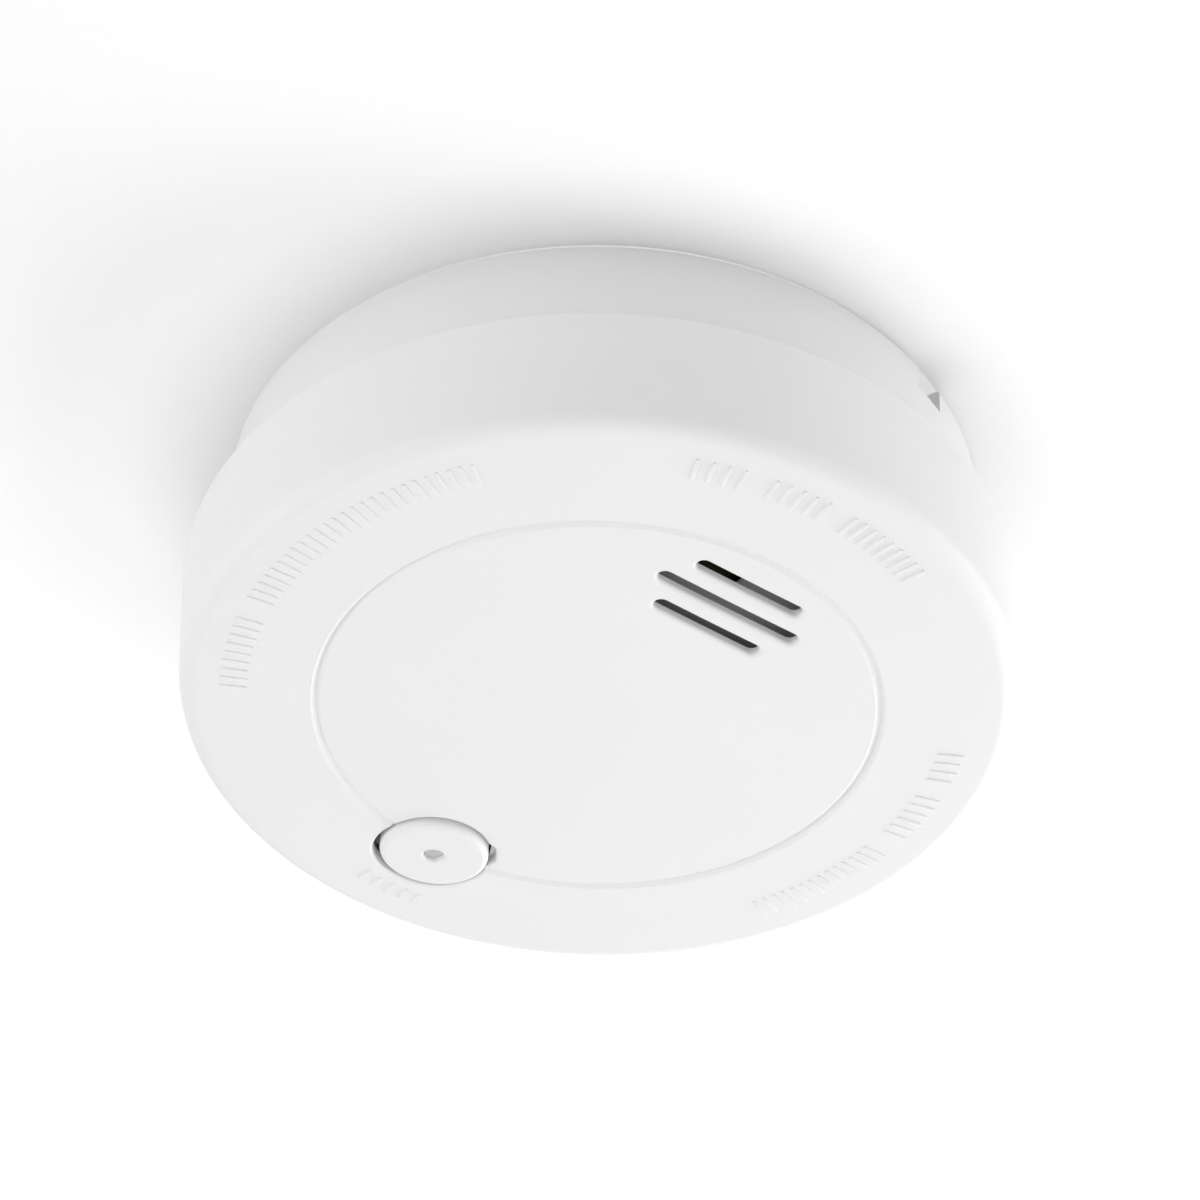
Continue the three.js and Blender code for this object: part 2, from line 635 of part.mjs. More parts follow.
// One dog-legged fin of the labyrinth: it lets air in and keeps light out.
function labyrinthFin(index) {
  const outline = [
    [16.2, 0.2], [16.2, 1.2], [13.8, 2.6], [11.6, 1.7], [12, 0.9], [13.7, 1.6],
  ];
  const fin = prism(outline, CHAMBER_BASE_TOP - SUNK, CHAMBER_FIN_TOP);
  return fin.rotate([0, 0, (index * 360) / CHAMBER_FINS]);
}

const eyeAngles = [0, SCATTER_ANGLE];

function eyeCradle(angle) {
  const base = block([5.5, 10.8], [-3, 3], [CHAMBER_BASE_TOP - SUNK, EYE_Z]);
  const seat = rodX(EYE_RADIUS + GAP, 4, 12, 0, EYE_Z);
  return cut(base, seat).rotate([0, 0, angle]);
}

function chamberBase() {
  const floor = disc(CHAMBER_RADIUS, BOARD_TOP + GAP, CHAMBER_BASE_TOP, MIDDLE_ROUND);
  return join(floor, ...copies(CHAMBER_FINS, labyrinthFin), ...eyeAngles.map(eyeCradle));
}

function chamberCap() {
  const top = CHAMBER_CAP_TOP;
  return turned([
    [0, top - 1.4], [CHAMBER_RADIUS - 2, top - 1.4], [CHAMBER_RADIUS, top - 1.4],
    [CHAMBER_RADIUS, top - 0.6], [CHAMBER_RADIUS - 1.5, top], [0, top],
  ], MIDDLE_ROUND);
}

function insectScreen() {
  const inner = CHAMBER_RADIUS + GAP;
  const reach = inner + 2;
  const wall = ring(inner + 0.4, inner, BOARD_TOP + GAP, CHAMBER_CAP_TOP - 0.9, MIDDLE_ROUND);
  const openings = copies(SCREEN_OPENINGS / 2, (i) =>
    block([-reach, reach], [-1.7, 1.7], [CHAMBER_BASE_TOP + 0.3, CHAMBER_FIN_TOP - 0.1])
      .rotate([0, 0, (i * 360) / SCREEN_OPENINGS]));
  return cut(wall, ...openings);
}

// Emitter or photodiode: a domed rod that looks at the middle of the chamber.
function chamberEye(angle) {
  const profile = [[0, 4.4], [1.3, 4.8], [2.2, 5.7], [EYE_RADIUS, 6.8], [EYE_RADIUS, 10.4], [0, 10.4]];
  return turned(profile, SMALL_ROUND).rotate([0, 90, 0]).translate([0, 0, EYE_Z]).rotate([0, 0, angle]);
}

// ---------------------------------------------------------------- battery and its contacts

const batteryMiddleZ = BATTERY_BACK_Z - BATTERY_DEPTH / 2;

function batteryCase() {
  const geometry = new THREE.BoxGeometry(BATTERY_WIDTH, BATTERY_LENGTH, BATTERY_DEPTH);
  geometry.translate(BATTERY_X, BATTERY_END_Y - BATTERY_LENGTH / 2, batteryMiddleZ);
  return solid(geometry);
}

function batterySnap(x, profile, sides) {
  return turned(profile, sides).rotate([-90, 0, 0]).translate([x, BATTERY_END_Y + 0.2, batteryMiddleZ]);
}

const snapStud = () => batterySnap(contactX[0], [
  [0, 0], [STUD_RADIUS, 0], [STUD_RADIUS - 0.3, SNAP_HEIGHT * 0.5],
  [STUD_RADIUS, SNAP_HEIGHT], [0, SNAP_HEIGHT],
], SMALL_ROUND);

const snapSocket = () => batterySnap(contactX[1], [
  [0, 0], [SOCKET_RADIUS, 0], [SOCKET_RADIUS, SNAP_HEIGHT], [STUD_RADIUS, SNAP_HEIGHT],
  [STUD_RADIUS, 0.5], [0, 0.5],
], 12);

// A flat spring contact that presses on one battery snap and is soldered to the board.
function batteryContact(x) {
  const half = CONTACT_WIDTH / 2;
  const tailHalf = CONTACT_TAIL / 2;
  const blade = block([x - half, x + half], CONTACT_Y, [-19.4, CONTACT_TOP]);
  const tail = block([x - tailHalf, x + tailHalf], CONTACT_Y, [BOARD_TOP + GAP, -19]);
  const bow = [[24.4, -10], [23.5, -12.2], [23.5, -17], [24.4, -18.6], [24, -16.8], [24, -12.4]];
  const tongue = prism(bow, -tailHalf, tailHalf).rotate([90, 0, 90]).translate([x, 0, 0]);
  return join(blade, tail, tongue);
}

// ---------------------------------------------------------------- assembly

function placed(holder, x, y) {
  holder.position.set(x, y, 0);
  return holder;
}

const screws = POSTS.map(([x, y], i) =>
  placed(piece(`board_screw_${i + 1}`, boardScrew(), STEEL()), x, y));

const button = placed(group(
  piece('test_button', testButton(), WHITE_ABS()),
  piece('button_light_guide', lightGuide(), CLEAR_ACRYLIC()),
), BUTTON_X, BUTTON_Y);

const testSwitch = placed(group(
  piece('switch_body', switchBody(), BLACK_NYLON()),
  piece('switch_plunger', switchPlunger(), GREY_ABS()),
), BUTTON_X, BUTTON_Y + SWITCH_Y);

const sounder = placed(group(
  piece('sounder_cup', sounderCup(), GREY_ABS()),
  piece('sounder_lid', sounderLid(), DARK_ABS()),
  piece('piezo_disc', piezoDisc(), BRASS()),
  piece('piezo_ceramic', piezoCeramic(), GREY_ABS()),
  piece('piezo_contact_centre', leafContact(0, PIEZO_FRONT + 1.1), STEEL()),
), GRILLE_X, GRILLE_Y);

const chamber = placed(group(
  piece('chamber_base', chamberBase(), BLACK_NYLON()),
  piece('chamber_cap', chamberCap(), BLACK_NYLON()),
  piece('insect_screen', insectScreen(), STEEL()),
  piece('ir_emitter', chamberEye(eyeAngles[0]), CLEAR_ACRYLIC()),
  piece('photodiode', chamberEye(eyeAngles[1]), BLACK_NYLON()),
), CHAMBER_X, CHAMBER_Y);

const battery = group(
  piece('battery_case', batteryCase(), finish(0x3d5a78, 0.4, 0.6)),
  piece('battery_stud', snapStud(), STEEL()),
  piece('battery_socket', snapSocket(), STEEL()),
);

const electronics = group(
  piece('circuit_board', circuitBoard(), BOARD_GREEN()),
  placed(piece('status_led', statusLed(), finish(0xb32218, 0.2)), BUTTON_X, BUTTON_Y),
  placed(piece('control_chip', controlChip(), BLACK_NYLON()), -22, -10),
  placed(piece('capacitor_large', canStandingOnBoard(3.1, 9.5), finish(0x20303f, 0.4)), -1.6, -14),
  placed(piece('capacitor_small', canStandingOnBoard(2.5, 7), finish(0x20303f, 0.4)), -1.6, -24),
  placed(piece('boost_coil', boostCoil(), BLACK_NYLON()), 4, 24),
  ...screws,
  piece('contact_plus', batteryContact(contactX[0]), STEEL()),
  piece('contact_minus', batteryContact(contactX[1]), STEEL()),
);

const detector = group(
  piece('mounting_plate', mountingPlate(), WHITE_ABS()),
  piece('rear_housing', rearHousing(), WHITE_ABS()),
  piece('front_cover', frontCover(), WHITE_ABS()),
  button,
  testSwitch,
  sounder,
  chamber,
  battery,
  electronics,
);

export default detector;
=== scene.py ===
"""Looks for the ceiling smoke detector: fine meshes, moulded materials, camera and soft studio light.

Shapes are drawn in millimetres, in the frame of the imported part, and dressed() scales them to metres.
"""

import json
import math

import bmesh
import bpy
from mathutils import Matrix, Vector


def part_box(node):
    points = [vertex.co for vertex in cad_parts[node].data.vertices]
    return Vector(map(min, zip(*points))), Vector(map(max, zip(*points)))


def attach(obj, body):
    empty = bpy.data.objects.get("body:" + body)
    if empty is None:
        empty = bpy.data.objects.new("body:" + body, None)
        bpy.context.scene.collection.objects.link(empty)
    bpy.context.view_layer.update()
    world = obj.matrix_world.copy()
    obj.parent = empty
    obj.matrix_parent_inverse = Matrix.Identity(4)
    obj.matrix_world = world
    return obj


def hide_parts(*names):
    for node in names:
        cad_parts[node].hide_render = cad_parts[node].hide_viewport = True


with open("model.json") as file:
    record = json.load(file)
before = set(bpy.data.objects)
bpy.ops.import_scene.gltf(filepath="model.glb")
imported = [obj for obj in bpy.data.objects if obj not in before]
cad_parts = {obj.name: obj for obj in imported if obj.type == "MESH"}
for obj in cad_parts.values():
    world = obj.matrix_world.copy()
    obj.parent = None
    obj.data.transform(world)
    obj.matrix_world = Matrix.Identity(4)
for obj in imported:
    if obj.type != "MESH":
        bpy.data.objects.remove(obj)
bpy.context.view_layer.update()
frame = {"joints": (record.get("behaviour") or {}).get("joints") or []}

MM = 0.001


def box_mm(node):
    """The lowest and highest corners of a CAD node, in millimetres."""
    low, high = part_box(node)
    return low / MM, high / MM


def centre_mm(node):
    low, high = box_mm(node)
    return (low + high) / 2


# ------------------------------ dimensions, in millimetres

COVER_LOW, COVER_HIGH = box_mm("front_cover")
COVER_RADIUS = COVER_HIGH.x
RIM_Z = COVER_HIGH.z
FACE_Z = COVER_LOW.z
DOME_RISE = 1.57
COVER_DRAFT = 0.5
COVER_WALL = 2.0
EDGE_ROUND = 2.5
GROOVE_RADIUS = 34.65
GROOVE_HALF = 0.62
GROOVE_DEPTH = 0.6
TICK_HALF_WIDTH = 0.25
TICK_LENGTH = 3.4
SMALL_TICK_LENGTH = 2.2
ARM_INNER = 42.9
ARM_OUTER = 44.3
ARM_HALF_WIDTH = 3
ARM_TOP = -19.6
NOSE_REACH = 46.2
NOSE_BOTTOM = -22.2

GRILLE = centre_mm("sounder_cup")
SLOT_PITCH = 4.27
SLOT_SPANS = (13.6, 18.8, 13.6)
SLOT_HALF_WIDTH = 0.92
SLOT_FILLET = 0.6
GRILLE_THICKNESS = 1.25
GRILLE_RADIUS = 12.5
SOUND_WALL_PLAY = 0.4
SOUND_WALL_THICKNESS = 1.2
SOUND_WALL_FOOT = -33.2
SOUND_WALL_TOP = -30

BUTTON = centre_mm("button_light_guide")
BUTTON_LOW, BUTTON_HIGH = box_mm("test_button")
BUTTON_RADIUS = 6.9
BUTTON_HOLE = 7.2
HOLE_FILLET = 0.5
HOLE_WIDENING = 0.55
WIDENING_SPREAD = 55
HOLE_NOTCH = 0.6
HOLE_NOTCH_TURN = 145
HOLE_NOTCH_DEPTH = 2.3
HOLE_NOTCH_SPREAD = 18
HOLE_NOTCH_RAMP = 8
BUTTON_WALL = 1.2
BUTTON_TOP = 1.4
BUTTON_EDGE = 0.9
LIGHT_HOLE = 1.3
GUIDE_SINK = 0.45
GUIDE_HOLLOW = 0.2
OUTER_PROUD = 0.05
BUTTON_BACK = -31.2
COLLAR_END = -32.2
BARREL_RADIUS = 1.15
BARREL_REACH = 3.9
PIN_RADIUS = 0.9
PIN_REACH = 6.4
PIN_HOLE = 1.2
LUG_INNER = 4.5
LUG_OUTER = 6.7
LUG_HALF = 2.1
PIVOT_Y = BUTTON_LOW.y + BARREL_RADIUS
PIVOT_Z = BUTTON_HIGH.z - BARREL_RADIUS
SWITCH = centre_mm("switch_plunger")

DRUM_LOW, DRUM_HIGH = box_mm("rear_housing")
DRUM_RADIUS = 0.905 * COVER_RADIUS
DRUM_WALL = 2.2
DRUM_FOOT_Z = -24.5
FLOOR_TOP = -6.0
FLOOR_BOTTOM = -8.0
RIM_NOTCH_ANGLE = 112.4
RIM_NOTCH_WIDTH = 5.3
RIM_NOTCH_BOTTOM = -4.0
WINDOW_COUNT = 24
WINDOW_WIDTH = 8.0
WINDOW_TOP = -17.5
WINDOW_BOTTOM = -22.5
WINDOW_ROUND = 0.6
SPACER_COUNT = 12
SPACER_REACH = 49.2
SPACER_HALF = 0.6
BATTERY_PLAY = 0.75
POCKET_WALL = 1.5
POCKET_HALF_LENGTH = 25.6
POST_RADIUS = 2.8
PILOT_RADIUS = 1.4
PILOT_TOP = -18
TAIL_SLOT_HALF = 2.3
TAIL_SLOT_START = 24

PLATE_LOW, PLATE_HIGH = box_mm("mounting_plate")
PLATE_RADIUS = PLATE_HIGH.x
PLATE_THICKNESS = 2.0
HOOK_ANGLES = (60, 180, 300)
HOOK_INNER = 40.0
HOOK_OUTER = 42.0
HOOK_ARC = 9.5
HOOK_FOOT = 1.6
HOOK_PLAY = 0.4
SAVING_COUNT = 8
SAVING_SPAN = (11, 36)
SAVING_ANGLES = (6.5, 38.5)
SAVING_DEPTH = 0.9
SCREW_SLOT_X = 30
SCREW_SLOT_SIZE = (3.2, 2.3)
ARC_SLOT_SPAN = (28, 32.6)
ARC_SLOT_HALF = 11
TWIST = frame["joints"][0]["range_deg"][1]

BOARD_LOW, BOARD_HIGH = box_mm("circuit_board")
SCREWS = [centre_mm(f"board_screw_{i}") for i in (1, 2, 3, 4)]


def dome(radius):
    """The height of the cover's face at a distance from its middle."""
    return FACE_Z + DOME_RISE * (radius / COVER_RADIUS) ** 2


# ------------------------------ mesh tools


def mesh_object(name, bm):
    bmesh.ops.recalc_face_normals(bm, faces=bm.faces)
    mesh = bpy.data.meshes.new(name)
    bm.to_mesh(mesh)
    bm.free()
    piece = bpy.data.objects.new(name, mesh)
    bpy.context.scene.collection.objects.link(piece)
    return piece


def stacked(rings):
    """A solid skinned over rings of points, one above the other, with a flat cap at each end."""
    bm = bmesh.new()
    rows = [[bm.verts.new(point) for point in ring] for ring in rings]
    for low, high in zip(rows, rows[1:]):
        for i in range(len(low)):
            j = (i + 1) % len(low)
            bm.faces.new((low[i], low[j], high[j], high[i]))
    bm.faces.new(rows[0])
    bm.faces.new(rows[-1])
    return mesh_object("solid", bm)


def turned(profile, segments=96):
    """A profile of (radius, z) points turned about Z, from axis to axis or closing on itself."""
    bm = bmesh.new()
    turns = [math.tau * i / segments for i in range(segments)]
    rows = []
    for radius, z in profile:
        around = turns if radius > 0 else turns[:1]
        rows.append([bm.verts.new((radius * math.cos(t), radius * math.sin(t), z)) for t in around])
    pairs = list(zip(rows, rows[1:]))
    if profile[0][0] > 0:
        pairs.append((rows[-1], rows[0]))
    for a, b in pairs:
        for i in range(segments):
            j = i + 1
            corners = (a[i % len(a)], a[j % len(a)], b[j % len(b)], b[i % len(b)])
            bm.faces.new(list(dict.fromkeys(corners)))
    return mesh_object("solid", bm)


def rounded(corners, closed=False):
    """The outline through (x, y, radius) corners, with each corner drawn as an arc of its radius."""
    points = []
    last = len(corners) - 1
    for i, (x, y, *extra) in enumerate(corners):
        radius = extra[0] if extra else 0
        if not radius or (not closed and i in (0, last)):
            points.append((x, y))
            continue
        here = Vector((x, y))
        before = (Vector(corners[i - 1][:2]) - here).normalized()
        after = (Vector(corners[(i + 1) % len(corners)][:2]) - here).normalized()
        half = before.angle(after) / 2
        centre = here + (before + after).normalized() * (radius / math.sin(half))
        start = here + before * (radius / math.tan(half)) - centre
        end = here + after * (radius / math.tan(half)) - centre
        first = math.atan2(start.y, start.x)
        sweep = (math.atan2(end.y, end.x) - first + math.pi) % math.tau - math.pi
        steps = max(3, round(7 * math.sqrt(radius)))
        for k in range(steps + 1):
            turn = first + sweep * k / steps
            points.append((centre.x + radius * math.cos(turn), centre.y + radius * math.sin(turn)))
    return points


def prism(outline, low, high):
    return stacked([[(x, y, z) for x, y in outline] for z in (low, high)])


def block(low, high):
    (x0, y0, z0), (x1, y1, z1) = low, high
    return prism([(x0, y0), (x1, y0), (x1, y1), (x0, y1)], z0, z1)


def disc(radius, low, high, segments=48):
    return turned([(0, low), (radius, low), (radius, high), (0, high)], segments)


def stadium(half_span, radius, steps=12, side_steps=8):
    """A slot's outline along X: two half circles joined by straight sides."""
    points = []
    for sign in (1, -1):
        for k in range(steps + 1):
            turn = math.radians(-90 + 180 * k / steps)
            points.append((sign * (half_span + radius * math.cos(turn)), sign * radius * math.sin(turn)))
        for k in range(1, side_steps):
            points.append((sign * half_span * (1 - 2 * k / side_steps), sign * radius))
    return points


def sector(inner, outer, start, end, low, high, steps=16):
    """A piece of a ring between two angles in degrees."""
    turns = [math.radians(start + (end - start) * k / steps) for k in range(steps + 1)]
    outline = [(outer * math.cos(t), outer * math.sin(t)) for t in turns]
    outline += [(inner * math.cos(t), inner * math.sin(t)) for t in reversed(turns)]
    return prism(outline, low, high)


def moved(piece, x=0.0, y=0.0, z=0.0, turn=0.0, tip=None):
    """Tips a piece over if a (degrees, axis) is given, turns it about Z and then shifts it."""
    matrix = Matrix.Translation((x, y, z)) @ Matrix.Rotation(math.radians(turn), 4, "Z")
    if tip:
        matrix = matrix @ Matrix.Rotation(math.radians(tip[0]), 4, tip[1])
    piece.data.transform(matrix)
    return piece


def rod_along_x(radius, x0, x1, y, z, segments=32):
    return moved(disc(radius, x0, x1, segments), y=y, z=z, tip=(90, "Y"))


def gathered(pieces):
    """Separate solids as one object, to cut or join with in one go."""
    bm = bmesh.new()
    for piece in pieces:
        bm.from_mesh(piece.data)
        bpy.data.objects.remove(piece)
    return mesh_object("solids", bm)


def apply_modifiers(piece):
    bpy.context.view_layer.update()
    graph = bpy.context.evaluated_depsgraph_get()
    mesh = bpy.data.meshes.new_from_object(piece.evaluated_get(graph))
    piece.modifiers.clear()
    piece.data = mesh
    return piece


def combined(body, operation, tools):
    for tool in tools:
        modifier = body.modifiers.new("boolean", "BOOLEAN")
        modifier.operation = operation
        modifier.solver = "EXACT"
        modifier.object = tool
    apply_modifiers(body)
    for tool in tools:
        bpy.data.objects.remove(tool)
    return body


def joined(body, *tools):
    return combined(body, "UNION", tools)


def cut(body, *tools):
    return combined(body, "DIFFERENCE", tools)


def softened(piece, width, segments=2, angle=35):
    """Rounds the edges that are sharper than an angle."""
    modifier = piece.modifiers.new("edges", "BEVEL")
    modifier.width = width
    modifier.segments = segments
    modifier.limit_method = "ANGLE"
    modifier.angle_limit = math.radians(angle)
    return apply_modifiers(piece)


def dressed(piece, name, body, slot, material, *nodes, sharp=35):
    """Scales a finished shape to metres, shades and paints it, and puts it on its body."""
    piece.name = name
    mesh = piece.data
    mesh.name = name
    mesh.transform(Matrix.Scale(MM, 4))
    mesh.shade_smooth()
    mesh.set_sharp_from_angle(angle=math.radians(sharp))
    normals = piece.modifiers.new("normals", "WEIGHTED_NORMAL")
    normals.keep_sharp = True
    normals.weight = 80
    mesh.materials.clear()
    mesh.materials.append(material)
    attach(piece, body)
    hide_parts(*nodes)
    return piece


# ------------------------------ camera and studio

CAMERA_DISTANCE = 0.764
CAMERA_ELEVATION = -41.815
CAMERA_ROLL = 0.0242
VIEW_TURN = Matrix.Rotation(math.radians(144.6), 3, "Z")
VIEW_AIM = (-0.0001, 0, -0.0161)
LENS = 181.4
SKY = 0.35
BACKDROP = 0.72
LAMP_DISTANCE = 1.1
CEILING_HOLE = 46.5 * MM
CEILING_REACH = 0.35
CEILING_LIFT = 0.2 * MM
FLOOR_REACH = 3.0
FLOOR_LEVEL = -1.7


def as_seen(x, y, z):
    """A direction or place as the camera sees it: X to its right, Y away from it and Z up."""
    return VIEW_TURN @ Vector((x, y, z))


def make_camera():
    rise = math.radians(CAMERA_ELEVATION)
    place = CAMERA_DISTANCE * as_seen(0, -math.cos(rise), math.sin(rise))
    aim = as_seen(*VIEW_AIM)
    forward = (aim - place).normalized()
    level = forward.cross(Vector((0, 0, 1))).normalized()
    upright = level.cross(forward)
    right = level * math.cos(CAMERA_ROLL) + upright * math.sin(CAMERA_ROLL)
    up = upright * math.cos(CAMERA_ROLL) - level * math.sin(CAMERA_ROLL)
    lens = bpy.data.cameras.new("camera")
    lens.sensor_width = 36
    lens.lens = LENS
    lens.clip_start = 0.01
    lens.clip_end = 50
    camera = bpy.data.objects.new("camera", lens)
    bpy.context.scene.collection.objects.link(camera)
    turn = Matrix((right, up, -forward)).transposed().to_4x4()
    camera.matrix_world = Matrix.Translation(place) @ turn
    bpy.context.scene.camera = camera


def make_softbox(name, direction, distance, size, watts):
    lamp = bpy.data.lights.new(name, "AREA")
    lamp.shape = "DISK"
    lamp.size = size
    lamp.energy = watts
    light = bpy.data.objects.new(name, lamp)
    bpy.context.scene.collection.objects.link(light)
    light.location = as_seen(*direction).normalized() * distance
    light.rotation_euler = (-light.location).to_track_quat("-Z", "Y").to_euler()
    light.visible_camera = False


def make_sheet(name, inner, outer, z, material, segments=96):
    """A flat round sheet that faces down, with an optional hole."""
    bm = bmesh.new()
    turns = [math.tau * i / segments for i in range(segments)]
    rows = [[bm.verts.new((r * math.cos(t), r * math.sin(t), z)) for t in turns] for r in (inner, outer)]
    for i in range(segments):
        j = (i + 1) % segments
        bm.faces.new((rows[0][i], rows[1][i], rows[1][j], rows[0][j]))
    mesh = bpy.data.meshes.new(name)
    bm.normal_update()
    if bm.faces[:][0].normal.z > 0:
        bmesh.ops.reverse_faces(bm, faces=bm.faces)
    bm.to_mesh(mesh)
    bm.free()
    mesh.materials.append(material)
    sheet = bpy.data.objects.new(name, mesh)
    bpy.context.scene.collection.objects.link(sheet)


def stage_material(name, colour, see_through_back):
    """A matt paint. Where it is see-through from the back, views from behind the sheet look past it."""
    material = bpy.data.materials.new(name)
    material.use_nodes = True
    nodes, links = material.node_tree.nodes, material.node_tree.links
    nodes.clear()
    output = nodes.new("ShaderNodeOutputMaterial")
    paint = nodes.new("ShaderNodeBsdfDiffuse")
    paint.inputs["Color"].default_value = (*colour, 1)
    if not see_through_back:
        links.new(paint.outputs[0], output.inputs["Surface"])
        return material
    side = nodes.new("ShaderNodeNewGeometry")
    clear = nodes.new("ShaderNodeBsdfTransparent")
    either = nodes.new("ShaderNodeMixShader")
    links.new(side.outputs["Backfacing"], either.inputs["Fac"])
    links.new(paint.outputs[0], either.inputs[1])
    links.new(clear.outputs[0], either.inputs[2])
    links.new(either.outputs[0], output.inputs["Surface"])
    return material


def show_pale(tree, lit, kind):
    """Shows the camera a plain pale tone, and leaves the light that falls on the object as it is."""
    seen = tree.nodes.new("ShaderNodeEmission")
    seen.inputs["Strength"].default_value = BACKDROP
    path = tree.nodes.new("ShaderNodeLightPath")
    either = tree.nodes.new("ShaderNodeMixShader")
    tree.links.new(path.outputs["Is Camera Ray"], either.inputs["Fac"])
    tree.links.new(lit.outputs[0], either.inputs[1])
    tree.links.new(seen.outputs[0], either.inputs[2])
    tree.links.new(either.outputs[0], tree.nodes[f"{kind} Output"].inputs["Surface"])


# name, direction as the camera sees it, width in metres, watts
SOFTBOXES = (
    ("right", (1, 0.2, -0.15), 0.6, 4.6),
    ("far_right", (0.5, 0.9, -0.2), 0.6, 5.0),
    ("low_right", (0.8, 0.3, -0.9), 0.6, 2.4),
    ("left", (-1, 0, -0.4), 0.6, 2.4),
    ("far_left", (-0.8, 0.7, -0.5), 1.0, 1.0),
    ("near_left", (-0.7, -0.7, -0.5), 0.6, 2.1),
    ("near", (0, -1, -0.6), 0.6, 0.8),
    ("below", (0, 0, -1), 0.6, 2.8),
    ("above", (0.3, -0.5, 1), 0.6, 4.0),
)


def make_studio():
    scene = bpy.context.scene
    scene.view_settings.view_transform = "Standard"
    world = bpy.data.worlds.new("studio")
    world.use_nodes = True
    sky = world.node_tree.nodes["Background"]
    sky.inputs["Color"].default_value = (1, 1, 1, 1)
    sky.inputs["Strength"].default_value = SKY
    show_pale(world.node_tree, sky, "World")
    scene.world = world
    ceiling = stage_material("ceiling_paint", (0.98, 0.98, 0.98), True)
    floor = stage_material("floor_paint", (0.9, 0.9, 0.9), False)
    show_pale(floor.node_tree, floor.node_tree.nodes["Diffuse BSDF"], "Material")
    make_sheet("ceiling", CEILING_HOLE, CEILING_REACH, CEILING_LIFT, ceiling)
    make_sheet("floor", 0.001, FLOOR_REACH, FLOOR_LEVEL, floor)
    for name, direction, width, watts in SOFTBOXES:
        make_softbox(name, direction, LAMP_DISTANCE, width, watts)


make_camera()
make_studio()

# ------------------------------ materials


def surface(name, light, dark, roughness, grain=0.25, depth=0.01, drift=30.0, metallic=0.0, **fixed):
    """A finish that drifts between two tones over drift mm, with a grain of that size and depth in mm."""
    material = bpy.data.materials.new(name)
    material.use_nodes = True
    nodes, links = material.node_tree.nodes, material.node_tree.links
    shader = nodes["Principled BSDF"]
    place = nodes.new("ShaderNodeTexCoord")

    def noise(size, detail):
        texture = nodes.new("ShaderNodeTexNoise")
        texture.inputs["Scale"].default_value = 1 / (size * MM)
        texture.inputs["Detail"].default_value = detail
        links.new(place.outputs["Object"], texture.inputs["Vector"])
        return texture.outputs["Fac"]

    tone = nodes.new("ShaderNodeMix")
    tone.data_type = "RGBA"
    tone.inputs["A"].default_value = (*dark, 1)
    tone.inputs["B"].default_value = (*light, 1)
    links.new(noise(drift, 3), tone.inputs["Factor"])
    links.new(tone.outputs["Result"], shader.inputs["Base Color"])
    speckle = noise(grain, 2)
    sheen = nodes.new("ShaderNodeMapRange")
    sheen.inputs["To Min"].default_value = roughness - 0.06
    sheen.inputs["To Max"].default_value = roughness + 0.06
    links.new(speckle, sheen.inputs["Value"])
    links.new(sheen.outputs["Result"], shader.inputs["Roughness"])
    bump = nodes.new("ShaderNodeBump")
    bump.inputs["Strength"].default_value = 0.6
    bump.inputs["Distance"].default_value = depth * MM
    links.new(speckle, bump.inputs["Height"])
    links.new(bump.outputs["Normal"], shader.inputs["Normal"])
    shader.inputs["Metallic"].default_value = metallic
    for socket, value in fixed.items():
        shader.inputs[socket.replace("_", " ")].default_value = value
    return material


WHITE = surface("white_abs", (0.83, 0.83, 0.828), (0.80, 0.80, 0.797), 0.5, grain=0.3, depth=0.006)
GREY = surface("grey_abs", (0.5, 0.51, 0.5), (0.45, 0.455, 0.45), 0.55)
DARK = surface("dark_abs", (0.42, 0.42, 0.42), (0.34, 0.34, 0.342), 0.5)
BLACK = surface("black_nylon", (0.022, 0.023, 0.025), (0.03, 0.03, 0.032), 0.55, depth=0.02)
ACRYLIC = surface("frosted_acrylic", (0.7, 0.71, 0.715), (0.64, 0.65, 0.655), 0.4, Transmission_Weight=0.15)
STEEL = surface("plated_steel", (0.62, 0.62, 0.62), (0.55, 0.56, 0.57), 0.3, grain=0.15, metallic=1.0)
# Brass painted almost black for the piezo diaphragm: painted shade, standing in for the darkness seen
# through the sound hole
SHADE_BRASS_TONES = ((0.035, 0.03, 0.02), (0.02, 0.018, 0.013))
SHADE_PAINTED_BRASS = surface("brass_painted_shade", *SHADE_BRASS_TONES, 0.55, grain=0.2, metallic=1.0)
COPPER = surface("enamelled_copper", (0.6, 0.24, 0.1), (0.5, 0.19, 0.08), 0.28, grain=0.1, metallic=1.0)
LAMINATE = surface("green_laminate", (0.035, 0.17, 0.08), (0.02, 0.12, 0.055), 0.38, drift=6, depth=0.006)
CERAMIC = surface("silvered_ceramic", (0.76, 0.75, 0.7), (0.66, 0.65, 0.6), 0.42, grain=0.12)
SLEEVE = surface("shrink_sleeve", (0.03, 0.05, 0.085), (0.022, 0.038, 0.065), 0.3, drift=5)
JACKET = surface("battery_jacket", (0.065, 0.11, 0.19), (0.05, 0.088, 0.155), 0.32, grain=0.2, metallic=0.4)
RED = surface("red_epoxy", (0.62, 0.05, 0.035), (0.5, 0.035, 0.025), 0.2, Transmission_Weight=0.3)
CLEAR = surface("clear_epoxy", (0.8, 0.82, 0.84), (0.72, 0.75, 0.78), 0.16, Transmission_Weight=0.6)
SMOKED = surface("black_epoxy", (0.02, 0.018, 0.022), (0.03, 0.026, 0.03), 0.18)

# ------------------------------ front cover


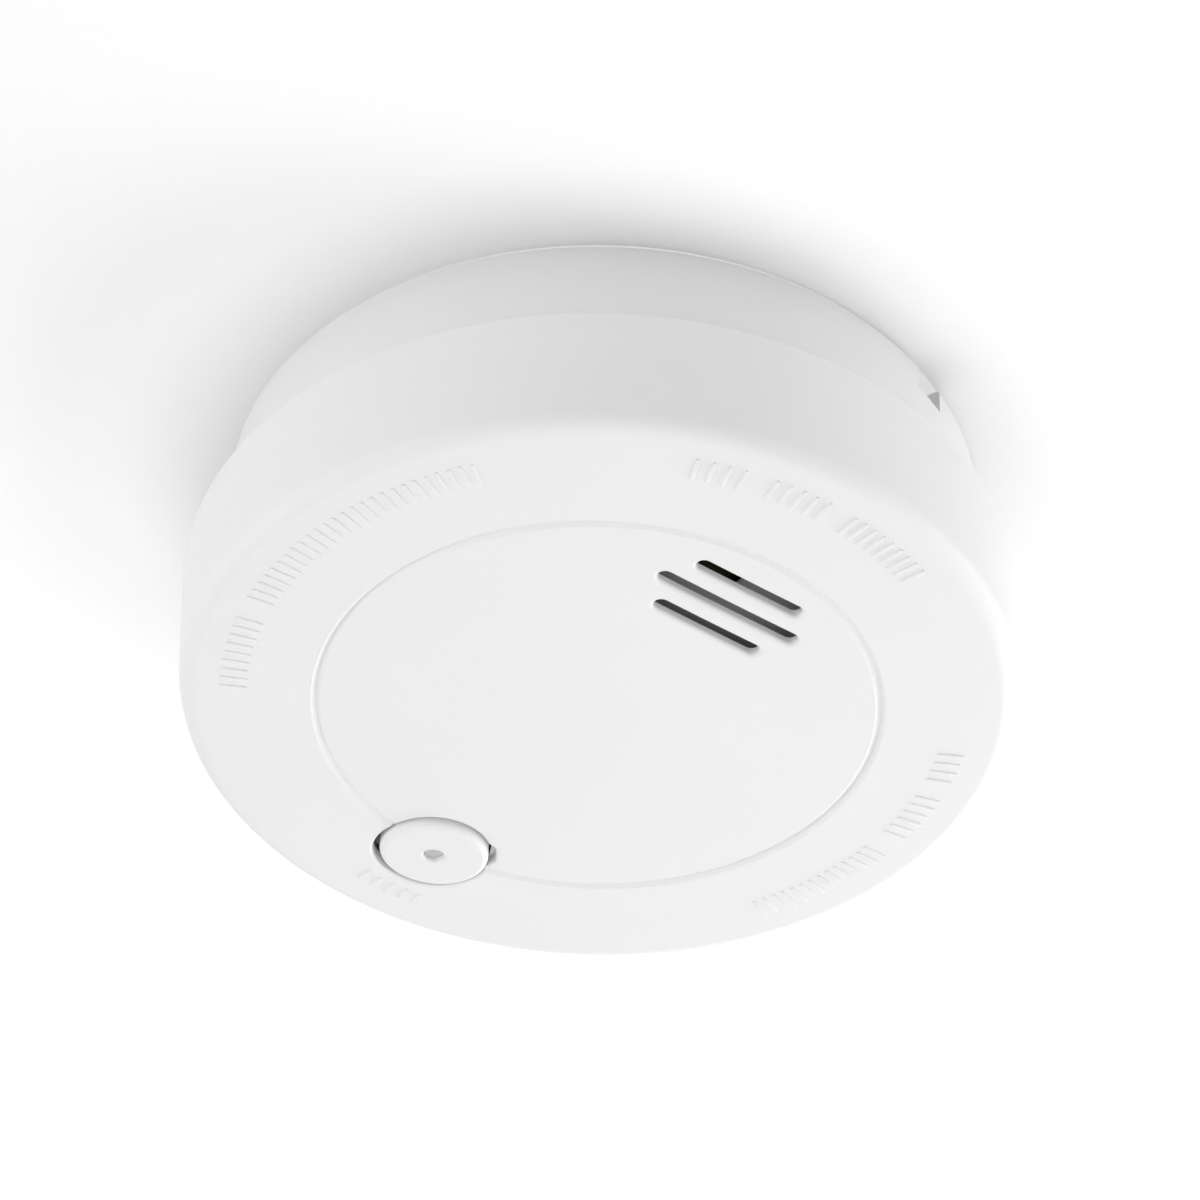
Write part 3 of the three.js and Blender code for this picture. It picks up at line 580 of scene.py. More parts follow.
def flared_cutter(grown, depth, fillet, x, y):
    """A cutter through the domed face whose mouth flares out in a quarter round.

    grown(offset) gives the opening's outline about (x, y), grown by an offset.
    """
    first = math.radians(15)
    lift = 0.06
    reach = fillet * (1 - math.sin(first)) + (fillet * (1 - math.cos(first)) + lift) / math.tan(first * 0.8)

    def ring(offset, sink):
        return [(x + u, y + v, dome(math.hypot(x + u, y + v)) + sink) for u, v in grown(offset)]

    def level(offset, z):
        return [(x + u, y + v, z) for u, v in grown(offset)]

    rings = [level(reach, FACE_Z - 3), ring(reach, -lift)]
    for degrees in (15, 30, 45, 60, 75, 90):
        turn = math.radians(degrees)
        rings.append(ring(fillet * (1 - math.sin(turn)), fillet * (1 - math.cos(turn))))
    rings.append(level(0, FACE_Z + depth))
    return stacked(rings)


def cover_profile():
    foot = COVER_RADIUS - COVER_DRAFT
    groove = GROOVE_RADIUS
    corners = [(r, dome(r)) for r in range(0, 33, 3)]
    corners += [
        (groove - GROOVE_HALF, dome(groove), 0.2),
        (groove, dome(groove) + GROOVE_DEPTH, 0.25),
        (groove + GROOVE_HALF, dome(groove), 0.2),
    ]
    corners += [(r, dome(r)) for r in range(37, 48, 3)]
    corners += [
        (foot, dome(foot), EDGE_ROUND),
        (COVER_RADIUS, RIM_Z, 0.45),
        (COVER_RADIUS - COVER_WALL, RIM_Z, 0.3),
        (foot - COVER_WALL, dome(foot) + COVER_WALL, 0.8),
    ]
    corners += [(r, dome(r) + COVER_WALL) for r in (40, 32, 24, 16, 8, 0)]
    return rounded(corners)


def button_hole_outline(offset, notch_reach=0.0):
    """The button's round hole, wider on one side; notch_reach is the notch's reach on the other side."""
    points = []
    for k in range(144):
        turn = math.tau * k / 144
        off_notch = abs((math.degrees(turn) - HOLE_NOTCH_TURN + 180) % 360 - 180)
        notch = notch_reach * min(1, max(0, (HOLE_NOTCH_SPREAD - off_notch) / HOLE_NOTCH_RAMP))
        off_wide = min(1, (180 - off_notch) / WIDENING_SPREAD)
        widening = HOLE_WIDENING * math.cos(math.pi / 2 * off_wide) ** 2
        radius = BUTTON_HOLE + notch + widening + offset
        points.append((radius * math.cos(turn), radius * math.sin(turn)))
    return points


def tick(radius, angle, length):
    """A plain raised bar that points at the middle of the face."""
    turn = math.radians(angle)

    def ring(grow, proud):
        points = []
        half_span = length / 2 - TICK_HALF_WIDTH
        for u, v in stadium(half_span, TICK_HALF_WIDTH + grow, steps=6, side_steps=2):
            x = (radius + u) * math.cos(turn) - v * math.sin(turn)
            y = (radius + u) * math.sin(turn) + v * math.cos(turn)
            points.append((x, y, dome(math.hypot(x, y)) - proud))
        return points

    return stacked([ring(0.05, -0.3), ring(0.03, 0.08), ring(-0.02, 0.18), ring(-0.11, 0.22)])


# radius, first and last angle, number of bars
TICK_GROUPS = (
    (44.8, -32.3, -16.2, 9),
    (44.9, -11.1, 35.1, 26),
    (45.3, 68.2, 75.6, 4),
    (45.3, 80.6, 89.6, 5),
    (45.3, 94.6, 109.8, 9),
    (44.4, 154.4, 161.0, 4),
    (44.4, 166.0, 176.5, 6),
    (44.4, 182.0, 206.0, 14),
)
SMALL_TICKS = (44.9, 264.8, 275.0, 5)


def tick_row(radius, start, end, count, length):
    return [tick(radius, start + (end - start) * i / (count - 1), length) for i in range(count)]


def raised_ticks():
    bars = []
    for row in TICK_GROUPS:
        bars += tick_row(*row, TICK_LENGTH)
    bars += tick_row(*SMALL_TICKS, SMALL_TICK_LENGTH)
    return gathered(bars)


def snap_arm(angle):
    """A springy arm inside the cover, whose nose catches in a window of the drum."""
    half = ARM_HALF_WIDTH
    arm = block((ARM_INNER, -half, dome(43) + COVER_WALL - 0.5), (ARM_OUTER, half, ARM_TOP))
    root = ARM_OUTER - 0.1
    wedge = [(root, NOSE_BOTTOM), (NOSE_REACH, NOSE_BOTTOM), (root, ARM_TOP - 0.2)]
    nose = moved(prism(wedge, -half, half), tip=(90, "X"))
    return moved(joined(arm, nose), turn=angle)


def pivot_lug(side):
    x0, x1 = sorted(BUTTON.x + side * x for x in (LUG_INNER, LUG_OUTER))
    root = dome(43) + COVER_WALL - 0.6
    lug = block((x0, PIVOT_Y - LUG_HALF, root), (x1, PIVOT_Y + LUG_HALF, PIVOT_Z + LUG_HALF))
    return cut(lug, rod_along_x(PIN_HOLE, x0 - 1, x1 + 1, PIVOT_Y, PIVOT_Z))


def sound_wall():
    """The ring on the inside of the cover that stands round the sounder."""
    inner = (box_mm("sounder_cup")[1].x - GRILLE.x) + SOUND_WALL_PLAY
    outer = inner + SOUND_WALL_THICKNESS
    foot, top = SOUND_WALL_FOOT, SOUND_WALL_TOP
    return moved(turned([(outer, foot), (outer, top), (inner, top), (inner, foot)]), GRILLE.x, GRILLE.y)


def grille_recess():
    """What is taken off behind the slots, so that the face is thinner there."""
    back = FACE_Z + 2 * COVER_WALL
    front = [(r, dome(r) + GRILLE_THICKNESS) for r in range(0, 45, 4)]
    layer = turned([*front, (44, back), (0, back)], 128)
    around = moved(disc(GRILLE_RADIUS, FACE_Z, back + 1, 96), GRILLE.x, GRILLE.y)
    return combined(layer, "INTERSECT", [around])


def make_cover():
    shell = turned(cover_profile(), 256)
    inside = [snap_arm(45 + 90 * i) for i in range(4)] + [pivot_lug(-1), pivot_lug(1), sound_wall()]
    joined(shell, *inside, raised_ticks())
    slots = []
    for i, span in enumerate(SLOT_SPANS):
        y = GRILLE.y + (i - 1) * SLOT_PITCH

        def outline(offset, span=span):
            return stadium(span / 2, SLOT_HALF_WIDTH + offset)

        slots.append(flared_cutter(outline, 5, SLOT_FILLET, GRILLE.x, y))
    hole = flared_cutter(button_hole_outline, 6, HOLE_FILLET, BUTTON.x, BUTTON.y)

    def notched(offset):
        return button_hole_outline(offset, HOLE_NOTCH)

    notch = flared_cutter(notched, HOLE_NOTCH_DEPTH, HOLE_FILLET, BUTTON.x, BUTTON.y)
    cut(shell, grille_recess(), *slots, hole, notch)
    dressed(shell, "cover_shell", "detector", "white_shell", WHITE, "front_cover")


# ------------------------------ rear housing


def window_cutter(index):
    half = WINDOW_WIDTH / 2
    corners = [(-half, WINDOW_BOTTOM), (half, WINDOW_BOTTOM), (half, WINDOW_TOP), (-half, WINDOW_TOP)]
    opening = rounded([(*corner, WINDOW_ROUND) for corner in corners], closed=True)
    slab = [[(r, u, z) for u, z in opening] for r in (DRUM_RADIUS - 4, DRUM_RADIUS + 4)]
    return moved(stacked(slab), turn=index * 360 / WINDOW_COUNT)


def spacer(index):
    """A rib between two windows, which keeps the cover off the drum."""
    half = SPACER_HALF
    rib = block((DRUM_RADIUS - 0.5, -half, DRUM_FOOT_Z), (SPACER_REACH, half, WINDOW_TOP + 0.4))
    softened(rib, 0.25)
    return moved(rib, turn=index * 360 / SPACER_COUNT + 180 / WINDOW_COUNT)


def hook_slot(angle):
    """The opening in the housing's floor in which a bayonet hook travels."""
    start, end = angle - HOOK_ARC / 2 - 0.8, angle + HOOK_ARC / 2 + TWIST + 1
    inner, outer = HOOK_INNER - HOOK_PLAY, HOOK_OUTER + HOOK_PLAY
    return sector(inner, outer, start, end, FLOOR_BOTTOM - 0.5, FLOOR_TOP + 0.5)


def make_housing():
    inner = DRUM_RADIUS - DRUM_WALL
    drum = turned(
        rounded(
            [
                (0, FLOOR_BOTTOM),
                (inner, FLOOR_BOTTOM, 0.5),
                (inner, DRUM_FOOT_Z, 0.3),
                (DRUM_RADIUS, DRUM_FOOT_Z, 0.3),
                (DRUM_RADIUS, DRUM_HIGH.z, 0.5),
                (inner, DRUM_HIGH.z, 0.3),
                (inner, FLOOR_TOP, 0.5),
                (0, FLOOR_TOP),
            ]
        ),
        192,
    )
    battery_low, battery_high = box_mm("battery_case")
    pocket_z = battery_low.z - 0.3
    root = FLOOR_BOTTOM + 0.5
    x0, x1 = battery_low.x - BATTERY_PLAY, battery_high.x + BATTERY_PLAY
    side = POCKET_HALF_LENGTH + POCKET_WALL
    pocket = block((x0 - POCKET_WALL, -side, DRUM_LOW.z), (x1 + POCKET_WALL, side, root))
    inside_drum = disc(inner + 0.5, DRUM_LOW.z - 2, FLOOR_TOP, 96)
    combined(pocket, "INTERSECT", [inside_drum])
    posts = [moved(disc(POST_RADIUS, BOARD_HIGH.z + 0.3, root), s.x, s.y) for s in SCREWS]
    pilots = [moved(disc(PILOT_RADIUS, BOARD_HIGH.z - 1, PILOT_TOP, 24), s.x, s.y) for s in SCREWS]
    spacers = [spacer(i) for i in range(SPACER_COUNT)]
    joined(drum, pocket, gathered(posts), gathered(spacers))
    ends = POCKET_HALF_LENGTH
    well = softened(block((x0, -ends, pocket_z), (x1, ends, FLOOR_TOP + 1)), 0.6, 3)
    half = RIM_NOTCH_WIDTH / 2
    notch = block((DRUM_RADIUS - 5, -half, RIM_NOTCH_BOTTOM), (DRUM_RADIUS + 5, half, 1))
    tails = []
    for node in ("contact_plus", "contact_minus"):
        x = centre_mm(node).x
        start = (x - TAIL_SLOT_HALF, TAIL_SLOT_START, DRUM_LOW.z - 1)
        tails.append(block(start, (x + TAIL_SLOT_HALF, ends, pocket_z + 1)))
    cut(
        drum,
        well,
        gathered([hook_slot(angle) for angle in HOOK_ANGLES]),
        gathered([window_cutter(i) for i in range(WINDOW_COUNT)]),
        gathered(pilots),
        gathered(tails),
        moved(notch, turn=RIM_NOTCH_ANGLE),
    )
    dressed(drum, "housing_shell", "detector", "white_shell", WHITE, "rear_housing")


# ------------------------------ mounting plate


def bayonet_hook(angle):
    """A stem that hangs from the plate, with a foot that the housing's floor rests on."""
    start, end = angle - HOOK_ARC / 2, angle + HOOK_ARC / 2
    low = PLATE_LOW.z
    stem = sector(HOOK_INNER, HOOK_OUTER, start, end, low, -1)
    foot = sector(HOOK_INNER, HOOK_OUTER, start - HOOK_ARC, end, low, low + HOOK_FOOT)
    return joined(stem, foot)


def make_plate():
    """The bracket, with shallow material savings and the slots for its two screws."""
    plate = disc(PLATE_RADIUS, -PLATE_THICKNESS, 0, 192)
    joined(plate, *[bayonet_hook(angle) for angle in HOOK_ANGLES])
    savings = []
    for i in range(SAVING_COUNT):
        start, end = (i * 360 / SAVING_COUNT + angle for angle in SAVING_ANGLES)
        savings.append(sector(*SAVING_SPAN, start, end, -SAVING_DEPTH, 1))
    slots = [moved(prism(stadium(*SCREW_SLOT_SIZE), -4, 1), side * SCREW_SLOT_X) for side in (-1, 1)]
    for middle in (90, 270):
        slots.append(sector(*ARC_SLOT_SPAN, middle - ARC_SLOT_HALF, middle + ARC_SLOT_HALF, -4, 1))
    cut(plate, gathered(savings), gathered(slots))
    softened(plate, 0.25, 2)
    dressed(plate, "ceiling_bracket", "ceiling_plate", "white_shell", WHITE, "mounting_plate")


# ------------------------------ test button


def make_button():
    """The cap leans: its rim is nearly flush with the face at the pivot and proud of it opposite."""
    low_edge = dome(-BUTTON.y + BUTTON_RADIUS) - OUTER_PROUD
    high_edge = BUTTON_LOW.z
    middle = (low_edge + high_edge) / 2
    slope = (high_edge - low_edge) / (2 * BUTTON_RADIUS)
    under = middle + BUTTON_TOP
    hollow = BUTTON_RADIUS - BUTTON_WALL
    collar = LIGHT_HOLE + 1
    outline = rounded(
        [
            (BUTTON_RADIUS, BUTTON_BACK, 0.15),
            (BUTTON_RADIUS, middle, BUTTON_EDGE),
            (LIGHT_HOLE, middle, 0.4),
            (LIGHT_HOLE, COLLAR_END, 0.1),
            (collar, COLLAR_END, 0.1),
            (collar, under, 0.3),
            (hollow, under, 0.4),
            (hollow, BUTTON_BACK, 0.15),
        ],
        closed=True,
    )
    cap = turned(outline, 128)
    for vertex in cap.data.vertices:
        if vertex.co.z < under + 0.5:
            vertex.co.z += slope * vertex.co.y
    pivot_y = PIVOT_Y - BUTTON.y
    switch_y = SWITCH.y - BUTTON.y
    presser = moved(disc(1.2, middle + 0.6, -31.5, 32), y=switch_y)
    stop = block((-3, BUTTON_RADIUS - 0.9, BUTTON_BACK - 0.55), (3, BUTTON_RADIUS + 1.8, BUTTON_BACK))
    softened(stop, 0.1)
    web = block((-3.8, pivot_y, -31.6), (3.8, -BUTTON_RADIUS + 1.1, -29.8))
    barrel = rod_along_x(BARREL_RADIUS, -BARREL_REACH, BARREL_REACH, pivot_y, PIVOT_Z)
    pins = rod_along_x(PIN_RADIUS, -PIN_REACH, PIN_REACH, pivot_y, PIVOT_Z)
    joined(cap, presser, stop, web, barrel, pins)
    moved(cap, BUTTON.x, BUTTON.y)
    dressed(cap, "button_cap", "button", "white_shell", WHITE, "test_button")

    guide_low, guide_high = box_mm("button_light_guide")
    radius = guide_high.x - BUTTON.x
    front = guide_low.z + GUIDE_SINK
    neck = LIGHT_HOLE - 0.05
    hollow_end = [(radius * k / 6, front + GUIDE_HOLLOW * (1 - (k / 6) ** 2)) for k in range(7)]
    tip = [(neck, front), (neck, front + 0.6), (radius, front + 0.7)]
    guide = turned([*hollow_end, *tip, (radius, guide_high.z), (0, guide_high.z)], 64)
    moved(guide, BUTTON.x, BUTTON.y)
    dressed(guide, "light_window", "button", "light_guide", ACRYLIC, "button_light_guide")


# ------------------------------ sheet metal and turned small parts


def ribbon(path, thickness):
    """The outline of a strip of sheet metal bent along (x, y, bend radius) corners."""
    points = [Vector(point) for point in rounded(path)]
    left, right = [], []
    for i, here in enumerate(points):
        along = (points[min(i + 1, len(points) - 1)] - points[max(i - 1, 0)]).normalized()
        side = Vector((-along.y, along.x)) * thickness / 2
        left.append(tuple(here + side))
        right.append(tuple(here - side))
    return left + right[::-1]


def plate_outline(x0, x1, y0, y1, radius):
    return rounded([(x0, y0, radius), (x1, y0, radius), (x1, y1, radius), (x0, y1, radius)], closed=True)


def lathe_piece(name, slot, material, nodes, profile, x, y, segments=64):
    """A turned piece of the detector, standing at (x, y)."""
    piece = moved(turned(rounded(profile), segments), x, y)
    return dressed(piece, name, "detector", slot, material, *nodes)


# ------------------------------ sounder

LID_THICKNESS = 0.5
SOUND_HOLE = 3
SOUND_HOLE_CENTRE = (2.8, 2.1)
VENT_RADIUS = 0.9
VENT_RING = 8.5
CONTACT_SHEET = 0.25


def make_sounder():
    cup_low, cup_high = box_mm("sounder_cup")
    piezo_low, piezo_high = box_mm("piezo_disc")
    lid_low, lid_high = box_mm("sounder_lid")
    ceramic_low, ceramic_high = box_mm("piezo_ceramic")
    x, y = GRILLE.x, GRILLE.y
    cup = cup_high.x - x
    piezo = piezo_high.x - x
    seat = piezo_low.z + 0.7
    floor = cup_high.z - 0.8
    body = turned(
        rounded(
            [
                (cup, cup_low.z, 0.3),
                (cup, cup_high.z, 0.5),
                (SOUND_HOLE, cup_high.z, 0.2),
                (SOUND_HOLE, floor, 0.2),
                (piezo - 1, floor, 0.3),
                (piezo - 1, seat, 0.15),
                (piezo + 0.3, seat, 0.15),
                (piezo + 0.3, cup_low.z, 0.25),
            ],
            closed=True,
        ),
        128,
    )
    vents = []
    for angle in (30, 150, 270):
        vent = moved(disc(VENT_RADIUS, floor - 1, cup_high.z + 1, 24), VENT_RING)
        vents.append(moved(vent, turn=angle))
    cut(body, gathered(vents))
    moved(body, x, y)
    dressed(body, "sounder_housing", "detector", "grey_plastic", GREY, "sounder_cup")

    back = lid_low.z + LID_THICKNESS
    lid = turned(
        rounded(
            [
                (0, lid_low.z),
                (piezo, lid_low.z, 0.25),
                (piezo, lid_high.z, 0.15),
                (piezo - 1, lid_high.z, 0.15),
                (piezo - 1, back, 0.3),
                (0, back),
            ]
        ),
        128,
    )
    mouth, front = SOUND_HOLE + 0.25, lid_low.z
    rim = [(mouth, front - 1), (mouth, front), (SOUND_HOLE, front + 0.2), (SOUND_HOLE, back + 1)]
    sound_hole = turned([(0, front - 1), *rim, (0, back + 1)], 64)
    cut(lid, moved(sound_hole, *SOUND_HOLE_CENTRE))
    moved(lid, x, y)
    dressed(lid, "sounder_lid_plate", "detector", "dark_plastic", DARK, "sounder_lid")

    z0, z1 = piezo_low.z, piezo_high.z
    diaphragm = [(0, z0), (piezo, z0, 0.12), (piezo, z1, 0.12), (0, z1)]
    # The diaphragm wears the near-black brass, which is painted shade behind the sound hole
    lathe_piece("piezo_diaphragm", "brass", SHADE_PAINTED_BRASS, ["piezo_disc"], diaphragm, x, y, 128)
    ceramic = ceramic_high.x - x
    electrode = ceramic_high.z - 0.04
    wafer = [
        (0, ceramic_low.z),
        (ceramic, ceramic_low.z, 0.05),
        (ceramic, electrode, 0.03),
        (ceramic - 0.5, electrode),
        (ceramic - 0.55, ceramic_high.z),
        (0, ceramic_high.z),
    ]
    lathe_piece("piezo_wafer", "ceramic", CERAMIC, ["piezo_ceramic"], wafer, x, y, 96)
    low, high = box_mm("piezo_contact_centre")
    path = [
        (-1.6, high.z - CONTACT_SHEET / 2),
        (1.4, high.z - CONTACT_SHEET / 2, 0.3),
        (-0.9, high.z - 0.7, 0.3),
        (1.1, low.z + 0.2, 0.2),
        (1.5, low.z + 0.5),
    ]
    leaf = moved(prism(ribbon(path, CONTACT_SHEET), low.y, high.y), tip=(90, "X"))
    moved(leaf, x, low.y + high.y)
    softened(leaf, 0.03)
    dressed(leaf, "piezo_leaf_contact", "detector", "steel", STEEL, "piezo_contact_centre")


# ------------------------------ circuit board

SCREW_HOLE = 1.5
SCREW_CORE = 0.75
SCREW_CREST = 1.05
THREAD_START = -26
THREAD_PITCH = 0.8
WIRE = 0.4
CHIP_PINS = 8
CHIP_PITCH = 1.27
CHIP_LEAD = 0.2
SWITCH_BORE = 1.5
RIVET_REACH = 1.75
RIVET_RADIUS = 0.35


def solder_joint(x, y, radius=0.75):
    z = BOARD_LOW.z
    slope = [(0, z - 0.5), (radius * 0.45, z - 0.42), (radius * 0.6, z - 0.2), (radius, z - 0.02)]
    return moved(turned([*slope, (radius, z), (0, z)], 16), x, y)


def make_board():
    radius = BOARD_HIGH.x
    low, high = BOARD_LOW.z, BOARD_HIGH.z
    board = turned(rounded([(0, low), (radius, low, 0.12), (radius, high, 0.12), (0, high)]), 128)
    holes = [moved(disc(SCREW_HOLE, low - 1, high + 1, 32), s.x, s.y) for s in SCREWS]
    cut(board, gathered(holes))
    dressed(board, "printed_board", "detector", "board_laminate", LAMINATE, "circuit_board")

    joints = []
    for node in ("capacitor_large", "capacitor_small", "boost_coil"):
        place = centre_mm(node)
        joints += [solder_joint(place.x + side * 1.25, place.y) for side in (-1, 1)]
    for node in ("contact_plus", "contact_minus"):
        place = centre_mm(node)
        joints += [solder_joint(place.x + side * 1.2, place.y + 0.3, 0.9) for side in (-1, 1)]
    chamber = centre_mm("chamber_base")
    for angle in (0, 120):
        for side in (-1, 1):
            turn = math.radians(angle + side * 7)
            joints.append(solder_joint(chamber.x + 10 * math.cos(turn), chamber.y + 10 * math.sin(turn)))
    dressed(gathered(joints), "solder_joints", "detector", "steel", STEEL)


def screw_shape():
    low, high = box_mm("board_screw_1")
    under_head = BOARD_LOW.z - 0.3
    head = high.x - centre_mm("board_screw_1").x
    profile = [(0, low.z), (head - 0.6, low.z, 0.3), (head, low.z + 0.55, 0.3), (head, under_head, 0.1)]
    profile += [(SCREW_CREST, under_head, 0.1), (SCREW_CREST, THREAD_START)]
    turns = round((high.z - 0.9 - THREAD_START) / THREAD_PITCH)
    for i in range(turns):
        z = THREAD_START + THREAD_PITCH * i
        profile += [(SCREW_CORE, z + 0.3), (SCREW_CREST, z + 0.7), (SCREW_CREST, z + THREAD_PITCH)]
    profile += [(0, high.z)]
    screw = turned(rounded(profile), 32)
    cross = [block((-a, -b, low.z - 1), (a, b, low.z + 0.8)) for a, b in ((1.3, 0.28), (0.28, 1.3))]
    return cut(screw, joined(*cross))


def make_screws():
    shape = screw_shape()
    for i, place in enumerate(SCREWS, 1):
        screw = bpy.data.objects.new(f"screw_{i}", shape.data.copy())
        bpy.context.scene.collection.objects.link(screw)
        moved(screw, place.x, place.y, turn=25 * i)
        dressed(screw, f"screw_{i}", "detector", "steel", STEEL, f"board_screw_{i}")
    bpy.data.objects.remove(shape)


def make_capacitor(node):
    low, high = box_mm(node)
    place = centre_mm(node)
    radius = high.x - place.x
    neck = low.z + 1.6
    sleeve = [
        (0, low.z),
        (radius - 0.2, low.z, 0.3),
        (radius, low.z + 0.5, 0.4),
        (radius, neck - 0.4, 0.3),
        (radius - 0.35, neck, 0.3),
        (radius, neck + 0.4, 0.3),
        (radius, high.z - 0.1, 0.5),
        (radius - 0.7, high.z - 0.1, 0.1),
        (radius - 0.75, high.z - 0.4),
        (0, high.z - 0.4),
    ]
    lathe_piece(f"{node}_sleeve", "capacitor_sleeve", SLEEVE, [node], sleeve, place.x, place.y)
    edge = radius - 0.8
    can = [(0, high.z - 0.35), (edge, high.z - 0.35), (edge, high.z, 0.15), (0, high.z - 0.05)]
    top = turned(rounded(can), 48)
    reach, groove, bottom = edge * 0.7, 0.08, high.z - 0.15
    score = block((-reach, -groove, bottom), (reach, groove, high.z + 1))
    cross = block((-groove, -reach, bottom), (groove, reach, high.z + 1))
    cut(top, joined(score, cross))
    moved(top, place.x, place.y, turn=40)
    dressed(top, f"{node}_vent", "detector", "steel", STEEL)


def make_coil():
    low, high = box_mm("boost_coil")
    place = centre_mm("boost_coil")
    rim = high.x - place.x
    waist = rim - 1
    core = [
        (0, low.z),
        (rim, low.z, 0.2),
        (rim, low.z + 1, 0.15),
        (waist, low.z + 1.2),
        (waist, high.z - 1.2),
        (rim, high.z - 1, 0.15),
        (rim, high.z, 0.2),
        (0, high.z),
    ]
    lathe_piece("coil_core", "black_plastic", BLACK, ["boost_coil"], core, place.x, place.y)
    bottom, top = low.z + 1.25, high.z - 1.25
    count = int((top - bottom) / WIRE)
    pitch = (top - bottom) / count
    outside = []
    for i in range(count):
        middle = bottom + pitch * (i + 0.5)
        for k in range(5):
            turn = math.radians(-80 + 40 * k)
            outside.append((waist + 0.35 + WIRE / 2 * math.cos(turn), middle + WIRE / 2 * math.sin(turn)))
    winding = turned([(waist + 0.04, bottom), *outside, (waist + 0.04, top)], 64)
    moved(winding, place.x, place.y)
    dressed(winding, "coil_winding", "detector", "brass", COPPER)


def make_chip():
    low, high = box_mm("control_chip")
    place = centre_mm("control_chip")
    body = block((-5, -2, low.z), (5, 2, high.z - 0.1))
    for vertex in body.data.vertices:
        if vertex.co.z < low.z + 0.1:
            vertex.co.x *= 0.975
            vertex.co.y *= 0.93
    softened(body, 0.1)
    cut(body, moved(disc(0.4, low.z - 1, low.z + 0.08, 24), -4.2, -1))
    moved(body, place.x, place.y)
    dressed(body, "chip_body", "detector", "black_plastic", BLACK, "control_chip")
    middle = (low.z + high.z) / 2
    foot = high.z - CHIP_LEAD / 2
    path = [(1.7, middle), (2.35, middle, 0.15), (2.45, foot, 0.15), (3, foot)]
    leads = []
    for i in range(CHIP_PINS):
        for turn in (90, -90):
            lead = moved(prism(ribbon(path, CHIP_LEAD), -0.2, 0.2), tip=(90, "X"))
            moved(lead, turn=turn)
            leads.append(moved(lead, place.x - 4.45 + i * CHIP_PITCH, place.y))
    dressed(gathered(leads), "chip_leads", "detector", "steel", STEEL)


def make_switch():
    low, high = box_mm("switch_body")
    place = centre_mm("switch_body")
    body = block((low.x, low.y, low.z), (high.x, high.y, high.z))
    softened(body, 0.25, 3)
    cut(body, moved(disc(SWITCH_BORE, low.z - 1, high.z - 0.6, 48), place.x, place.y))
    reach = RIVET_REACH
    corners = [(place.x + a, place.y + b) for a in (-reach, reach) for b in (-reach, reach)]
    rivets = [moved(disc(RIVET_RADIUS, low.z - 0.12, low.z + 0.3, 16), x, y) for x, y in corners]
    joined(body, gathered(rivets))
    dressed(body, "switch_case", "detector", "black_plastic", BLACK, "switch_body")
    low, high = box_mm("switch_plunger")
    radius = high.x - SWITCH.x
    profile = [(0, low.z), (radius, low.z, 0.3), (radius, high.z, 0.1), (0, high.z)]
    plunger = moved(turned(rounded(profile), 48), SWITCH.x, SWITCH.y)
    dressed(plunger, "switch_pin", "plunger", "grey_plastic", GREY, "switch_plunger")


def make_led():
    low, high = box_mm("status_led")
    place = centre_mm("status_led")
    flange = high.x - place.x
    profile = [
        (0, low.z),
        (flange - 0.2, low.z, 1.1),
        (flange - 0.2, high.z - 0.9, 0.1),
        (flange, high.z - 0.8, 0.1),
        (flange, high.z, 0.1),
        (0, high.z),
    ]
    lathe_piece("indicator_led", "red_lens", RED, ["status_led"], profile, place.x, place.y, 48)


# ------------------------------ smoke chamber

CHAMBER = centre_mm("chamber_cap")
CHAMBER_RADIUS = box_mm("chamber_cap")[1].x - CHAMBER.x
CHAMBER_FLOOR = box_mm("chamber_base")[0].z + 1.2
FINS = 20
EYE_ANGLES = (("ir_emitter", 0), ("photodiode", 120))
EYE_RADIUS = 2.5
EYE_FINISHES = {"ir_emitter": ("clear_epoxy", CLEAR), "photodiode": ("black_epoxy", SMOKED)}


def labyrinth_fin(index, top):
    outline = rounded(
        [
            (16.2, 0.2, 0.15),
            (16.2, 1.2, 0.3),
            (13.8, 2.6, 0.3),
            (11.6, 1.7, 0.2),
            (12, 0.9, 0.2),
            (13.7, 1.6, 0.3),
        ],
        closed=True,
    )
    return moved(prism(outline, CHAMBER_FLOOR - 0.3, top), turn=index * 360 / FINS)


